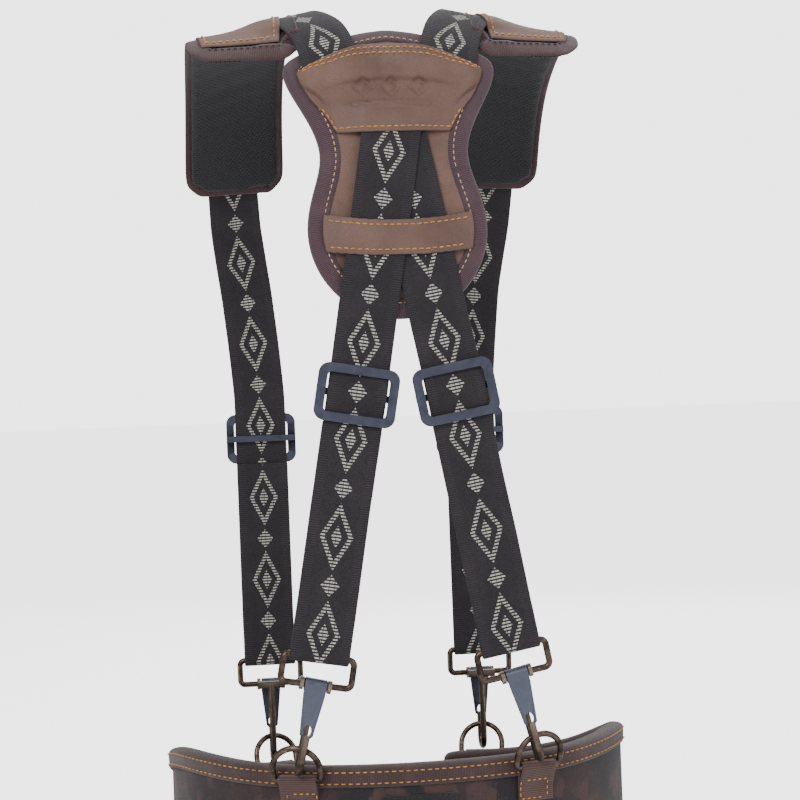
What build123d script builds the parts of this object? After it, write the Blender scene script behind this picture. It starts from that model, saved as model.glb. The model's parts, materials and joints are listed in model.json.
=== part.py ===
"""Work suspenders hooked onto a padded lumbar support belt, in the shape they take when worn.

Frame: origin at the centre of the waist opening on the belt's bottom edge, +X to the wearer's
right, +Y to the wearer's front, +Z up. Millimetres.
"""

from build123d import *
from math import asin, cos, degrees, pi, radians, sin, sqrt, tan
import os

# ---------------------------------------------------------------- driving dimensions

# belt: four-arc oval measured on the outer face of the shell
BELT_HALF_WIDTH = 157.0
BELT_HALF_DEPTH = 120.0
BELT_FLAT_RADIUS = 300.0
BELT_BACK_HEIGHT = 150.0
BELT_SIDE_HEIGHT = 157.0
BELT_FRONT_HEIGHT = 118.0
BELT_FRONT_GAP = 50.0
SHELL_THICKNESS = 1.4
FOAM_THICKNESS = 7.4
LINING_THICKNESS = 1.2
LAYER_GAP = 0.2
BINDING_THICKNESS = 1.2
BINDING_WIDTH = 13.0
STAY_WIDTH, STAY_HEIGHT, STAY_THICKNESS = 14.0, 108.0, 1.2
STAY_POSITIONS = (-60.0, -25.0, 25.0, 60.0)
STAY_MIDDLE = 74.0
LABEL_BOTTOM, LABEL_HEIGHT, LABEL_WIDTH = 112.0, 22.0, 48.0
LABEL_FACES = (0.1, 0.9)

# waist webbing with its side-release buckle
WAIST_WEBBING_WIDTH = 50.0
WAIST_WEBBING_THICKNESS = 2.2
WAIST_WEBBING_HEIGHT = 65.0
WAIST_LIFT = 1.6
BUCKLE_LENGTH, BUCKLE_HEIGHT, BUCKLE_THICKNESS = 72.0, 62.0, 13.0
ARM_PIVOT_HEIGHT, ARM_WIDTH, ARM_LENGTH = 16.0, 6.0, 28.0
ARM_HEAD_LENGTH, ARM_HEAD_WIDTH = 11.0, 10.0
ARM_HEAD_X, ARM_HEAD_Z = 20.5, 23.5
TAIL_LENGTH, TAIL_STARTS = 100.0, 5.0
BAND_WALL = 1.2
KEEPER_TURN, KEEPER_SWEEP = 118.0, 10.0
BELT_LOOP_SWEEP = 12.0
BELT_LOOP_TURNS = {1: (-56.0, 4.0), -1: (164.0, 224.0)}

# shoulder webbing, its hardware and the places it passes
WEBBING_WIDTH = 38.0
WEBBING_THICKNESS = 1.8
STRAP_TILT = 10.2
HOOK_TILT = 13.5
LOOP_BAR_X, LOOP_BAR_Y, LOOP_BAR_Z = 64.5, 123.0, 208.0
FRONT_CLIP_X, FRONT_CLIP_DROP = 80.0, 32.0
LOOP_WIDTH, LOOP_HEIGHT, LOOP_WIRE = 49.5, 22.2, 4.2
LOOP_CORNER = 3.6
GLIDE_WIDTH, GLIDE_HEIGHT, GLIDE_BAR, GLIDE_THICKNESS = 52.0, 37.0, 5.8, 2.4
GLIDE_DISTANCE = 167.0
RETURN_LENGTH = 138.0
HOOK_ROD = 4.6
HOOK_LENGTH = 49.0
HOOK_SHANK_Y = 7.5
HOOK_PRONG_Y = -7.0
PLATE_THICKNESS = 1.2
PLATE_LENGTH = 36.0
RING_WIDTH, RING_HEIGHT, RING_WIRE = 35.0, 27.0, 4.0
RING_X, RING_Z, RING_LEAN = 76.0, 147.0, 20.0
TAB_WIDTH, TAB_LENGTH = 24.0, 21.0

# body line that the harness follows, seen from the side as (y, z)
BODY_BACK_Y = -114.0
CHEST_HEIGHT = 440.0
BODY_LINE = ((BODY_BACK_Y, 420), (-113, 480), (-101, 578), (-82, 622), (-50, 638), (-15, 641),
             (40, 628), (85, 585), (107, 520), (-BODY_BACK_Y, CHEST_HEIGHT))
NECK_HALF_WIDTH, SHOULDER_BEGINS = 35.0, 60.0
SHOULDER_SLOPE = 0.45
SLOPE_STARTS, SLOPE_ENDS = 600.0, 470.0

# shoulder webbing as (fraction of its way over the shoulder, lateral place)
SHOULDER_STRAP_LINE = ((0, 33), (0.1, 42), (0.2, 60), (0.3, 77), (0.4, 86), (0.5, 90), (0.6, 92),
                       (0.7, 93), (0.8, 92), (0.9, 88), (1, 84))
STRAP_STATIONS = 60
STRAP_LEAVES_YOKE, STRAP_ON_YOKE = 425.0, 453.0
STRAP_TOP = 574.0
STRAP_STRAIGHT_BELOW = 392.0
STRAP_PLAY = 10.5

# back yoke
YOKE_TOP, YOKE_BOTTOM = 627.0, 438.0
# half width and height at the arch, horn, hip, waist, belly and chin
YOKE_SHAPE = ((38.0, 619.0), (70.0, 603.0), (60.0, 578.0), (47.3, 546.0), (57.5, 493.0), (41.0, 455.0))
PANEL_BOTTOM = 558.0
OVERLAY_INSET = 7.0
YOKE_LINING = (0.0, 1.2)
YOKE_FOAM = (1.4, 6.0)
YOKE_BASE = (6.2, 7.6)
STRAP_LIFTS = {"right": (8.0, 9.8), "left": (10.0, 11.8)}
YOKE_OVERLAY = (12.0, 13.4)

# shoulder pads
PAD_WIDTH = 72.0
PAD_LINING = (0.0, 1.2)
PAD_FOAM = (1.4, 8.0)
PAD_STRAP = (8.7, 10.5)
PAD_LEATHER = (11.8, 13.2)
PAD_BACK_HEIGHT, PAD_FRONT_HEIGHT = 606.0, 545.0
PAD_BACK_X, PAD_FRONT_X = 92.0, 93.0
PAD_EDGE = 1.4
PAD_LEATHER_INSET = 9.0
PAD_END_ROUNDING = 0.12

SIDES = {"left": -1, "right": 1}
REACH = 400.0

os.makedirs("parts", exist_ok=True)


def save(piece, name):
    """Label a finished piece and write its file."""
    piece.part.label = name
    export_step(piece.part, f"parts/{name}.step")


def save_placed(piece, name, location):
    """Write a copy of a piece that was modelled in its own frame."""
    with BuildPart() as placed:
        with Locations(location):
            add(piece.part)
    save(placed, name)


# ---------------------------------------------------------------- belt

side_radius = ((BELT_HALF_WIDTH ** 2 + (BELT_FLAT_RADIUS - BELT_HALF_DEPTH) ** 2 - BELT_FLAT_RADIUS ** 2)
               / (2 * (BELT_HALF_WIDTH - BELT_FLAT_RADIUS)))
side_centre = BELT_HALF_WIDTH - side_radius
flat_centre = BELT_FLAT_RADIUS - BELT_HALF_DEPTH
arc_meeting = asin(side_centre / (BELT_FLAT_RADIUS - side_radius))


def oval(outset, mode=Mode.ADD):
    """The waist outline moved outward, as four tangent arcs."""
    radius = BELT_FLAT_RADIUS + outset
    x, y = radius * sin(arc_meeting), radius * cos(arc_meeting) - flat_centre
    width, depth = BELT_HALF_WIDTH + outset, BELT_HALF_DEPTH + outset
    with BuildLine() as outline:
        ThreePointArc((-x, y), (0, depth), (x, y))
        ThreePointArc((x, y), (width, 0), (x, -y))
        ThreePointArc((x, -y), (0, -depth), (-x, -y))
        ThreePointArc((-x, -y), (-width, 0), (-x, y))
    make_face(outline.line.edges(), mode=mode)


def under_top_edge(drop):
    """The side view of what lies under the belt's top edge, lowered by drop."""
    with BuildSketch(Plane.YZ) as side_view:
        with BuildLine():
            edge = Spline((-150, BELT_BACK_HEIGHT - drop), (-100, BELT_BACK_HEIGHT + 3 - drop),
                          (-45, BELT_SIDE_HEIGHT - drop), (30, 142 - drop),
                          (100, BELT_FRONT_HEIGHT - drop), (150, BELT_FRONT_HEIGHT - drop))
            Polyline(edge @ 1, (150, -50), (-150, -50), edge @ 0)
        make_face()
    return side_view.sketch


def belt_wrap(inner, outer, bottom, drop, gap):
    """A layer of the belt between two outsets, open at the front by gap to each side."""
    with BuildPart() as wrap:
        with BuildSketch(Plane.XY.offset(bottom)):
            oval(outer)
            oval(inner, mode=Mode.SUBTRACT)
        extrude(amount=REACH)
        extrude(under_top_edge(drop), amount=REACH, both=True, mode=Mode.INTERSECT)
        with Locations((0, REACH / 2, 0)):
            Box(2 * gap, REACH, 2 * REACH, mode=Mode.SUBTRACT)
    return wrap


shell_in = -SHELL_THICKNESS
foam_out = shell_in - LAYER_GAP
foam_in = foam_out - FOAM_THICKNESS
lining_out = foam_in - LAYER_GAP
lining_in = lining_out - LINING_THICKNESS
edge = BINDING_THICKNESS
stay_in = (foam_in + foam_out - STAY_THICKNESS) / 2
stay_out = stay_in + STAY_THICKNESS

save(belt_wrap(shell_in, 0, edge, 0, BELT_FRONT_GAP), "belt_outer_shell")
save(belt_wrap(lining_in, lining_out, edge, 0, BELT_FRONT_GAP), "belt_inner_lining")

with BuildPart() as belt_stays:
    add(belt_wrap(stay_in, stay_out, edge, 0, BELT_FRONT_GAP).part)
    with Locations(*[(x, -REACH / 2, STAY_MIDDLE) for x in STAY_POSITIONS]):
        Box(STAY_WIDTH, REACH, STAY_HEIGHT, mode=Mode.INTERSECT)
save(belt_stays, "belt_stays")

with BuildPart() as stay_pockets:
    add(belt_wrap(stay_in - LAYER_GAP, stay_out + LAYER_GAP, edge, 0, BELT_FRONT_GAP).part)
    with Locations(*[(x, -REACH / 2, STAY_MIDDLE) for x in STAY_POSITIONS]):
        Box(STAY_WIDTH + 1, REACH, STAY_HEIGHT + 2, mode=Mode.INTERSECT)

with BuildPart() as belt_foam:
    add(belt_wrap(foam_in, foam_out, edge, 0, BELT_FRONT_GAP).part)
    add(stay_pockets.part, mode=Mode.SUBTRACT)
save(belt_foam, "belt_foam_core")

# one binding tape runs round the belt's whole edge as a channel over all its layers
with BuildPart() as belt_binding:
    add(belt_wrap(lining_in - edge, edge, 0, -edge, BELT_FRONT_GAP - edge).part)
    add(belt_wrap(lining_in - 0.1, 0.1, edge - 0.1, -0.1, BELT_FRONT_GAP - 0.1).part, mode=Mode.SUBTRACT)
    add(belt_wrap(lining_in - REACH / 10, REACH / 10, BINDING_WIDTH, BINDING_WIDTH - edge,
                  BELT_FRONT_GAP + BINDING_WIDTH).part, mode=Mode.SUBTRACT)
save(belt_binding, "belt_binding")

# blank woven label on the middle of the back
with BuildPart() as label_patch:
    with BuildSketch(Plane.XY.offset(LABEL_BOTTOM)):
        oval(LABEL_FACES[1])
        oval(LABEL_FACES[0], mode=Mode.SUBTRACT)
    extrude(amount=LABEL_HEIGHT)
    with Locations((0, -REACH / 2, 0)):
        Box(LABEL_WIDTH, REACH, REACH, mode=Mode.INTERSECT)
save(label_patch, "label_patch")

# ---------------------------------------------------------------- waist webbing and buckle

webbing_bottom = WAIST_WEBBING_HEIGHT - WAIST_WEBBING_WIDTH / 2
webbing_out = WAIST_LIFT + WAIST_WEBBING_THICKNESS
buckle_y = BELT_HALF_DEPTH + WAIST_LIFT + WAIST_WEBBING_THICKNESS / 2
webbing_end = BUCKLE_LENGTH / 2 + 0.5


def webbing_turn(inner, outer):
    """A full turn of waist webbing between two outsets."""
    with BuildPart() as turn:
        with BuildSketch(Plane.XY.offset(webbing_bottom)):
            oval(outer)
            oval(inner, mode=Mode.SUBTRACT)
        extrude(amount=WAIST_WEBBING_WIDTH)
    return turn.part


with BuildPart() as waist_webbing:
    add(webbing_turn(WAIST_LIFT, webbing_out))
    with Locations((0, REACH / 2, 0)):
        Box(2 * webbing_end, REACH, REACH, mode=Mode.SUBTRACT)
save(waist_webbing, "waist_webbing")

tail_in = webbing_out + LAYER_GAP
tail_out = tail_in + WAIST_WEBBING_THICKNESS
with BuildPart() as waist_tail:
    add(webbing_turn(tail_in, tail_out))
    with Locations((-webbing_end - TAIL_STARTS - TAIL_LENGTH / 2, REACH / 2, 0)):
        Box(TAIL_LENGTH, REACH, REACH, mode=Mode.INTERSECT)
save(waist_tail, "waist_webbing_tail")


def band_over_webbing(inner, outer, wall, half_height, sweep_angle):
    """A loop of band round the webbing where the belt turns the corner, centred on +X."""
    with BuildPart() as band:
        with BuildSketch(Plane.XZ):
            with Locations((side_radius + (inner + outer) / 2, WAIST_WEBBING_HEIGHT)):
                Rectangle(outer - inner, 2 * half_height)
                Rectangle(outer - inner - 2 * wall, 2 * half_height - 2 * wall, mode=Mode.SUBTRACT)
        revolve(axis=Axis.Z, revolution_arc=sweep_angle)
    return band


belt_loop = band_over_webbing(LAYER_GAP, webbing_out + 1.5, BAND_WALL, WAIST_WEBBING_WIDTH / 2 + 3,
                              BELT_LOOP_SWEEP)
with BuildPart() as belt_loops:
    for side, turns in BELT_LOOP_TURNS.items():
        with Locations(*[Location((side * side_centre, 0, 0), (0, 0, turn)) for turn in turns]):
            add(belt_loop.part)
save(belt_loops, "belt_loops")

keeper = band_over_webbing(LAYER_GAP, tail_out + 1.5, BAND_WALL, WAIST_WEBBING_WIDTH / 2 + 2, KEEPER_SWEEP)
save_placed(keeper, "webbing_keeper", Location((-side_centre, 0, 0), (0, 0, KEEPER_TURN)))

SOCKET_CAVITY_HEIGHT, SOCKET_CAVITY_DEPTH = 50.0, 8.0
SOCKET_WINDOW = (13.0, 28.0)
PLUG_HEIGHT, PLUG_THICKNESS = 58.0, 10.0
PLUG_SLOTS = (9.0, 19.0)
TONGUE_LENGTH, TONGUE_WIDTH, TONGUE_THICKNESS = 26.0, 8.0, 6.0
half_buckle = BUCKLE_LENGTH / 2
window_middle = sum(SOCKET_WINDOW) / 2
window_length = SOCKET_WINDOW[1] - SOCKET_WINDOW[0]

with BuildPart(Plane.XZ.offset(-buckle_y)) as buckle_socket:
    with Locations((half_buckle / 2 + 0.5, WAIST_WEBBING_HEIGHT, 0)):
        Box(half_buckle - 1, BUCKLE_HEIGHT, BUCKLE_THICKNESS)
    fillet(buckle_socket.edges().filter_by(Axis.X), 3)
    with Locations((half_buckle / 2 - 2.5, WAIST_WEBBING_HEIGHT, 0)):
        Box(half_buckle - 7, SOCKET_CAVITY_HEIGHT, SOCKET_CAVITY_DEPTH, mode=Mode.SUBTRACT)
    with Locations((window_middle, WAIST_WEBBING_HEIGHT, 0)):
        Box(window_length, BUCKLE_HEIGHT + 2, SOCKET_CAVITY_DEPTH, mode=Mode.SUBTRACT)
save(buckle_socket, "buckle_socket")

with BuildPart(Plane.XZ.offset(-buckle_y)) as buckle_plug:
    with Locations((-half_buckle / 2 - 0.5, WAIST_WEBBING_HEIGHT, 0)):
        Box(half_buckle - 1, PLUG_HEIGHT, PLUG_THICKNESS)
    fillet(buckle_plug.edges().filter_by(Axis.X), 2.5)
    with Locations(*[(slot - half_buckle, WAIST_WEBBING_HEIGHT, 0) for slot in PLUG_SLOTS]):
        Box(5, WAIST_WEBBING_WIDTH + 2, 12, mode=Mode.SUBTRACT)
    with Locations(*[(0, WAIST_WEBBING_HEIGHT + side * ARM_PIVOT_HEIGHT, 0) for side in (-1, 1)]):
        Cylinder(ARM_WIDTH / 2 + LAYER_GAP, 2 * PLUG_THICKNESS, mode=Mode.SUBTRACT)
    with Locations((10, WAIST_WEBBING_HEIGHT, 0)):
        Box(TONGUE_LENGTH, TONGUE_WIDTH, TONGUE_THICKNESS)
save(buckle_plug, "buckle_plug")

# each spring arm turns on a round root that sits in the plug
for name, side in (("buckle_arm_upper", 1), ("buckle_arm_lower", -1)):
    with BuildPart(Plane.XZ.offset(-buckle_y)) as buckle_arm:
        with Locations((ARM_LENGTH / 2, WAIST_WEBBING_HEIGHT + side * ARM_PIVOT_HEIGHT, 0)):
            Box(ARM_LENGTH, ARM_WIDTH, TONGUE_THICKNESS)
        with Locations((ARM_HEAD_X, WAIST_WEBBING_HEIGHT + side * ARM_HEAD_Z, 0)):
            Box(ARM_HEAD_LENGTH, ARM_HEAD_WIDTH, TONGUE_THICKNESS)
        fillet(buckle_arm.edges().filter_by(Axis.Y).sort_by(Axis.X)[-2:], 1.5)
        with Locations((0, WAIST_WEBBING_HEIGHT + side * ARM_PIVOT_HEIGHT, 0)):
            Cylinder(ARM_WIDTH / 2, TONGUE_THICKNESS)
    save(buckle_arm, name)

# ---------------------------------------------------------------- rings on the belt

with BuildPart() as d_ring:
    with BuildLine(Plane.XZ) as ring_path:
        half, top = (RING_WIDTH - RING_WIRE) / 2, RING_HEIGHT - RING_WIRE
        bottom = FilletPolyline((-half, top - half), (-half, 0), (half, 0), (half, top - half), radius=3)
        RadiusArc(bottom @ 1, bottom @ 0, -half)
    with BuildSketch(Plane(ring_path.line @ 0, z_dir=ring_path.line % 0)):
        Circle(RING_WIRE / 2)
    sweep()

# webbing folded over the ring's straight bar and sewn down on the belt
fold_in = RING_WIRE / 2 + 0.3
fold_out = fold_in + 1.5
with BuildPart() as ring_tab:
    with BuildSketch(Plane.YZ):
        Circle(fold_out)
        with Locations((0, -TAB_LENGTH / 2)):
            Rectangle(2 * fold_out, TAB_LENGTH)
        Circle(fold_in, mode=Mode.SUBTRACT)
        with Locations((0, -TAB_LENGTH / 2)):
            Rectangle(2 * fold_in, TAB_LENGTH, mode=Mode.SUBTRACT)
    extrude(amount=TAB_WIDTH / 2, both=True)

ring_turn = degrees(asin((RING_X - side_centre) / side_radius))
ring_surface_y = side_radius * cos(radians(ring_turn))
ring_offset = BINDING_THICKNESS + 0.2 + fold_out
ring_bar_x = RING_X + ring_offset * sin(radians(ring_turn))
ring_bar_y = ring_surface_y + ring_offset * cos(radians(ring_turn))

with BuildPart() as ring_tabs:
    for side in SIDES.values():
        with Locations(Location((side * ring_bar_x, -ring_bar_y, RING_Z), (0, 0, side * ring_turn)),
                       Location((side * ring_bar_x, ring_bar_y, RING_Z - FRONT_CLIP_DROP),
                                (0, 0, 180 - side * ring_turn))):
            add(ring_tab.part)
save(ring_tabs, "ring_tabs")

# ---------------------------------------------------------------- strap hardware, each in its own frame
# (X along the bar, Z up the strap, -Y away from the body)

bar_radius = LOOP_WIRE / 2
loop_top = LOOP_HEIGHT - LOOP_WIRE
with BuildSketch(Plane.XZ) as loop_outline:
    with Locations((0, loop_top / 2)):
        RectangleRounded(LOOP_WIDTH - LOOP_WIRE, loop_top, LOOP_CORNER)
loop_line = loop_outline.sketch.face().outer_wire()
with BuildPart() as wire_loop:
    with BuildSketch(Plane(loop_line @ 0, z_dir=loop_line % 0)):
        Circle(bar_radius)
    sweep(path=loop_line)

turn_in = bar_radius + 0.3
turn_out = turn_in + WEBBING_THICKNESS
outer_leg = 14.0
with BuildPart() as strap_end:
    with BuildSketch(Plane.YZ):
        with Locations((0, loop_top)):
            Circle(turn_out)
            Circle(turn_in, mode=Mode.SUBTRACT)
        with Locations((0, loop_top + REACH / 2)):
            Rectangle(2 * turn_out, REACH, mode=Mode.SUBTRACT)
        with Locations(((turn_in + turn_out) / 2, loop_top + RETURN_LENGTH / 2)):
            Rectangle(WEBBING_THICKNESS, RETURN_LENGTH)
        with Locations((-(turn_in + turn_out) / 2, loop_top + outer_leg / 2)):
            Rectangle(WEBBING_THICKNESS, outer_leg)
    extrude(amount=WEBBING_WIDTH / 2, both=True)

# the frame lies in front of the webbing and its middle bar is set back behind it
frame_back = -turn_out - 0.4
bar_front = -turn_in + 0.3
with BuildPart() as tri_glide:
    with BuildSketch(Plane.XZ.offset(-frame_back)):
        RectangleRounded(GLIDE_WIDTH, GLIDE_HEIGHT, 7)
        RectangleRounded(GLIDE_WIDTH - 2 * GLIDE_BAR, GLIDE_HEIGHT - 2 * GLIDE_BAR, 3, mode=Mode.SUBTRACT)
    extrude(amount=GLIDE_THICKNESS)
    with Locations((0, bar_front + GLIDE_THICKNESS / 2, 0)):
        Box(GLIDE_WIDTH - 2, GLIDE_THICKNESS, 4.5)
    with BuildSketch(Plane.XZ.offset(-frame_back)):
        with Locations((-GLIDE_WIDTH / 2 + GLIDE_BAR / 2, 0), (GLIDE_WIDTH / 2 - GLIDE_BAR / 2, 0)):
            Rectangle(GLIDE_BAR - 0.4, 4.5)
    extrude(amount=frame_back - bar_front)

# hook bent from round rod, with a cross piece and two collars that turn on the loop's lower bar
eye_in = bar_radius + 0.8
eye_out = eye_in + 1.3
collar_start, collar_end = 7.8, 10.2
rod = HOOK_ROD / 2
with BuildPart() as snap_hook:
    with BuildLine(Plane.YZ) as rod_path:
        bend = (HOOK_SHANK_Y - HOOK_PRONG_Y) / 2
        shank = Line((HOOK_SHANK_Y, 0), (HOOK_SHANK_Y, -HOOK_LENGTH))
        bight = RadiusArc(shank @ 1, (HOOK_PRONG_Y, -HOOK_LENGTH), bend)
        Line(bight @ 1, (HOOK_PRONG_Y, -HOOK_LENGTH + 17.5))
    with BuildSketch(Plane(rod_path.line @ 0, z_dir=rod_path.line % 0)):
        Circle(rod)
    sweep()
    with Locations((0, HOOK_SHANK_Y, 0)):
        Box(2 * collar_end, 3.2, 5)
    for side in SIDES.values():
        with BuildSketch(Plane.YZ.offset(side * (collar_start + collar_end) / 2)):
            Circle(eye_out)
            with Locations((HOOK_SHANK_Y / 2, 0)):
                Rectangle(HOOK_SHANK_Y, 5)
            Circle(eye_in, mode=Mode.SUBTRACT)
        extrude(amount=(collar_end - collar_start) / 2, both=True)

# spring-steel gate: a knuckle on the loop's bar and a plate tapering down to the prong's tip
with BuildPart() as spring_gate:
    with BuildSketch(Plane.YZ):
        Circle(eye_out)
        Circle(eye_in, mode=Mode.SUBTRACT)
    extrude(amount=7, both=True)
    with BuildSketch(Plane.XZ.offset(eye_out - PLATE_THICKNESS)):
        with BuildLine():
            Polyline((-7, 0), (7, 0), (7, -6), (4.25, -PLATE_LENGTH + 4), (0, -PLATE_LENGTH),
                     (-4.25, -PLATE_LENGTH + 4), (-7, -6), (-7, 0))
        make_face()
        with Locations((0, -PLATE_LENGTH + 7)):
            Ellipse(2.6, 3.6, mode=Mode.SUBTRACT)
    extrude(amount=PLATE_THICKNESS)

# ---------------------------------------------------------------- four clips

for end, drop in (("back", 0), ("front", FRONT_CLIP_DROP)):
    for name, side in SIDES.items():
        if end == "back":
            bar = (side * LOOP_BAR_X, -LOOP_BAR_Y, LOOP_BAR_Z)
            strap_frame = Location(bar, (0, -side * STRAP_TILT, 0))
            hook_frame = Location(bar, (0, -side * HOOK_TILT, 0))
            ring_frame = Location((side * ring_bar_x, -ring_bar_y, RING_Z), (0, 0, side * ring_turn))
        else:
            bar = (side * FRONT_CLIP_X, LOOP_BAR_Y, LOOP_BAR_Z - drop)
            strap_frame = Location(bar, (0, 0, 180))
            hook_frame = strap_frame
            ring_frame = Location((side * ring_bar_x, ring_bar_y, RING_Z - drop),
                                  (0, 0, 180 - side * ring_turn))
        save_placed(wire_loop, f"wire_loop_{end}_{name}", strap_frame)
        save_placed(strap_end, f"strap_end_{end}_{name}", strap_frame)
        save_placed(tri_glide, f"tri_glide_{end}_{name}",
                    strap_frame * Location((0, 0, loop_top + GLIDE_DISTANCE)))
        save_placed(snap_hook, f"snap_hook_{end}_{name}", hook_frame)
        save_placed(spring_gate, f"spring_gate_{end}_{name}", hook_frame)
        save_placed(d_ring, f"d_ring_{end}_{name}", ring_frame * Location((0, 0, 0), (RING_LEAN, 0, 0)))

# ---------------------------------------------------------------- body line and straps

with BuildLine(Plane.YZ) as body:
    body_line = Spline(*BODY_LINE, tangents=((0, 1), (0, -1)))


def body_fraction(height, front=False):
    """Fraction of the body line at a height on the back or on the chest."""
    low, high = (1.0, 0.55) if front else (0.0, 0.45)
    for _ in range(40):
        middle = (low + high) / 2
        if body_line.position_at(middle).Z < height:
            low = middle
        else:
            high = middle
    return low


slope_start, slope_end = body_fraction(SLOPE_STARTS), body_fraction(SLOPE_ENDS, front=True)


def shoulder_slope(t):
    """How steeply the shoulder falls away to the side."""
    part_way = (t - slope_start) / (slope_end - slope_start)
    return SHOULDER_SLOPE * sin(pi * part_way) if 0 < part_way < 1 else 0


def body_plane(t, lateral, lift):
    """The cross-section plane on the body at a fraction of its line, lifted off the body."""
    along = body_line.tangent_at(t)
    outward = Vector(1, 0, 0).cross(along)
    side = 1 if lateral > 0 else -1
    rounding = SHOULDER_BEGINS - NECK_HALF_WIDTH
    past_neck = max(abs(lateral) - NECK_HALF_WIDTH, 0)
    past_rounding = max(past_neck - rounding, 0)
    slope = shoulder_slope(t) * min(past_neck / rounding, 1)
    fall = shoulder_slope(t) * (min(past_neck, rounding) ** 2 / (2 * rounding) + past_rounding)
    across = Vector(1, 0, 0) - outward * (side * slope)
    normal = across.cross(along).normalized()
    centre = body_line.position_at(t) + Vector(lateral, 0, 0) - outward * fall + normal * lift
    return Plane(centre, x_dir=across, z_dir=along)


def body_ribbon(stations, lifts):
    """A band along the body; stations hold fraction, lateral place and width."""
    with BuildPart() as ribbon:
        for t, lateral, width in stations:
            with BuildSketch(body_plane(t, lateral, sum(lifts) / 2)):
                Rectangle(width, lifts[1] - lifts[0])
        loft(ruled=True)
    return ribbon


def between(start, end, count):
    """Evenly spaced values from start to end."""
    return [start + (end - start) * step / (count - 1) for step in range(count)]


def shoulder_strap_x(step):
    """Lateral place of the shoulder webbing at a fraction of its way."""
    for (low, start_x), (high, end_x) in zip(SHOULDER_STRAP_LINE, SHOULDER_STRAP_LINE[1:]):
        if step <= high:
            return start_x + (end_x - start_x) * (step - low) / (high - low)


strap_bottom = loop_top + outer_leg + STRAP_PLAY
outer_y = LOOP_BAR_Y + (turn_in + turn_out) / 2
tilted_width = WEBBING_WIDTH / cos(radians(STRAP_TILT))
for name, side in SIDES.items():
    def strap_x(height):
        return side * (LOOP_BAR_X - (height - LOOP_BAR_Z) * tan(radians(STRAP_TILT)))

    with BuildPart() as back_strap:
        for height in (LOOP_BAR_Z + strap_bottom * cos(radians(STRAP_TILT)), STRAP_LEAVES_YOKE):
            with BuildSketch(Plane((strap_x(height), -outer_y, height), x_dir=(1, 0, 0), z_dir=(0, 0, 1))):
                Rectangle(tilted_width, WEBBING_THICKNESS)
        for height in between(STRAP_ON_YOKE, STRAP_TOP, 14):
            lift = sum(STRAP_LIFTS[name]) / 2
            with BuildSketch(body_plane(body_fraction(height), strap_x(height), lift)):
                Rectangle(tilted_width, WEBBING_THICKNESS)
        loft(ruled=True)
    save(back_strap, f"back_strap_{name}")

    start = body_fraction(STRAP_TOP + 8)
    with BuildPart() as shoulder_strap:
        for step in between(0, 1, STRAP_STATIONS):
            t = start + (1 - start) * step
            with BuildSketch(body_plane(t, side * shoulder_strap_x(step), sum(PAD_STRAP) / 2)):
                Rectangle(WEBBING_WIDTH, WEBBING_THICKNESS)
        for height in (STRAP_STRAIGHT_BELOW, LOOP_BAR_Z - FRONT_CLIP_DROP + strap_bottom):
            level = Plane((side * FRONT_CLIP_X, outer_y, height), x_dir=(1, 0, 0), z_dir=(0, 0, -1))
            with BuildSketch(level):
                Rectangle(WEBBING_WIDTH, WEBBING_THICKNESS)
        loft(ruled=True)
    save(shoulder_strap, f"shoulder_strap_{name}")

# ---------------------------------------------------------------- shoulder pads


def pad_layer(inset, trim, count=32):
    """A layer of the pads' curved slab, narrowed by inset and rounded at both ends."""
    pad_start, pad_end = body_fraction(PAD_BACK_HEIGHT), body_fraction(PAD_FRONT_HEIGHT, front=True)
    stations = []
    for step in between(0, 1, count):
        t = pad_start + (pad_end - pad_start) * (trim + (1 - 2 * trim) * step)
        end_distance = min(step, 1 - step) * 2
        rounding = sqrt(1 - (1 - min(end_distance / PAD_END_ROUNDING, 1)) ** 2)
        width = PAD_WIDTH * (0.72 + 0.28 * rounding) - 2 * inset
        lateral = PAD_BACK_X + (PAD_FRONT_X - PAD_BACK_X) * step
        stations.append((t, lateral, width))
    return stations


for name, side in SIDES.items():
    def mirrored(stations):
        return [(t, side * lateral, width) for t, lateral, width in stations]

    save(body_ribbon(mirrored(pad_layer(PAD_EDGE, 0.008)), PAD_LINING), f"pad_lining_{name}")
    save(body_ribbon(mirrored(pad_layer(PAD_EDGE, 0.008)), PAD_FOAM), f"pad_foam_{name}")
    save(body_ribbon(mirrored(pad_layer(PAD_LEATHER_INSET, 0.05)), PAD_LEATHER),
         f"pad_leather_{name}")
    rim = (PAD_LINING[0] - BINDING_THICKNESS, PAD_FOAM[1] + 0.2)
    opening = (rim[0] - 1, rim[1] + 1)
    with BuildPart() as pad_binding:
        add(body_ribbon(mirrored(pad_layer(0, 0)), rim).part)
        add(body_ribbon(mirrored(pad_layer(PAD_EDGE - 0.1, 0.0075)), (-0.1, rim[1] + 1)).part,
            mode=Mode.SUBTRACT)
        add(body_ribbon(mirrored(pad_layer(BINDING_WIDTH, 0.04)), opening).part, mode=Mode.SUBTRACT)
    save(pad_binding, f"pad_binding_{name}")

# ---------------------------------------------------------------- yoke


def yoke_outline(inset):
    """The yoke's bell shape seen from behind, with every point drawn in by inset."""
    slanted = inset * sqrt(0.5)
    with BuildSketch(Plane.XZ) as outline:
        with BuildLine():
            arch, horn, hip, waist, belly, chin = YOKE_SHAPE
            top = ThreePointArc((0, YOKE_TOP - inset), (arch[0] - slanted / 3, arch[1] - inset),
                                (horn[0] - inset, horn[1] - inset))
            flank = Spline(top @ 1, (hip[0] - inset, hip[1]), (waist[0] - inset, waist[1]),
                           (belly[0] - inset, belly[1]), tangents=((-0.1, -1), (0, -1)))
            ThreePointArc(flank @ 1, (chin[0] - slanted, chin[1] + slanted), (0, YOKE_BOTTOM + inset))
            mirror(about=Plane.YZ)
        make_face()
    return outline.sketch


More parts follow.
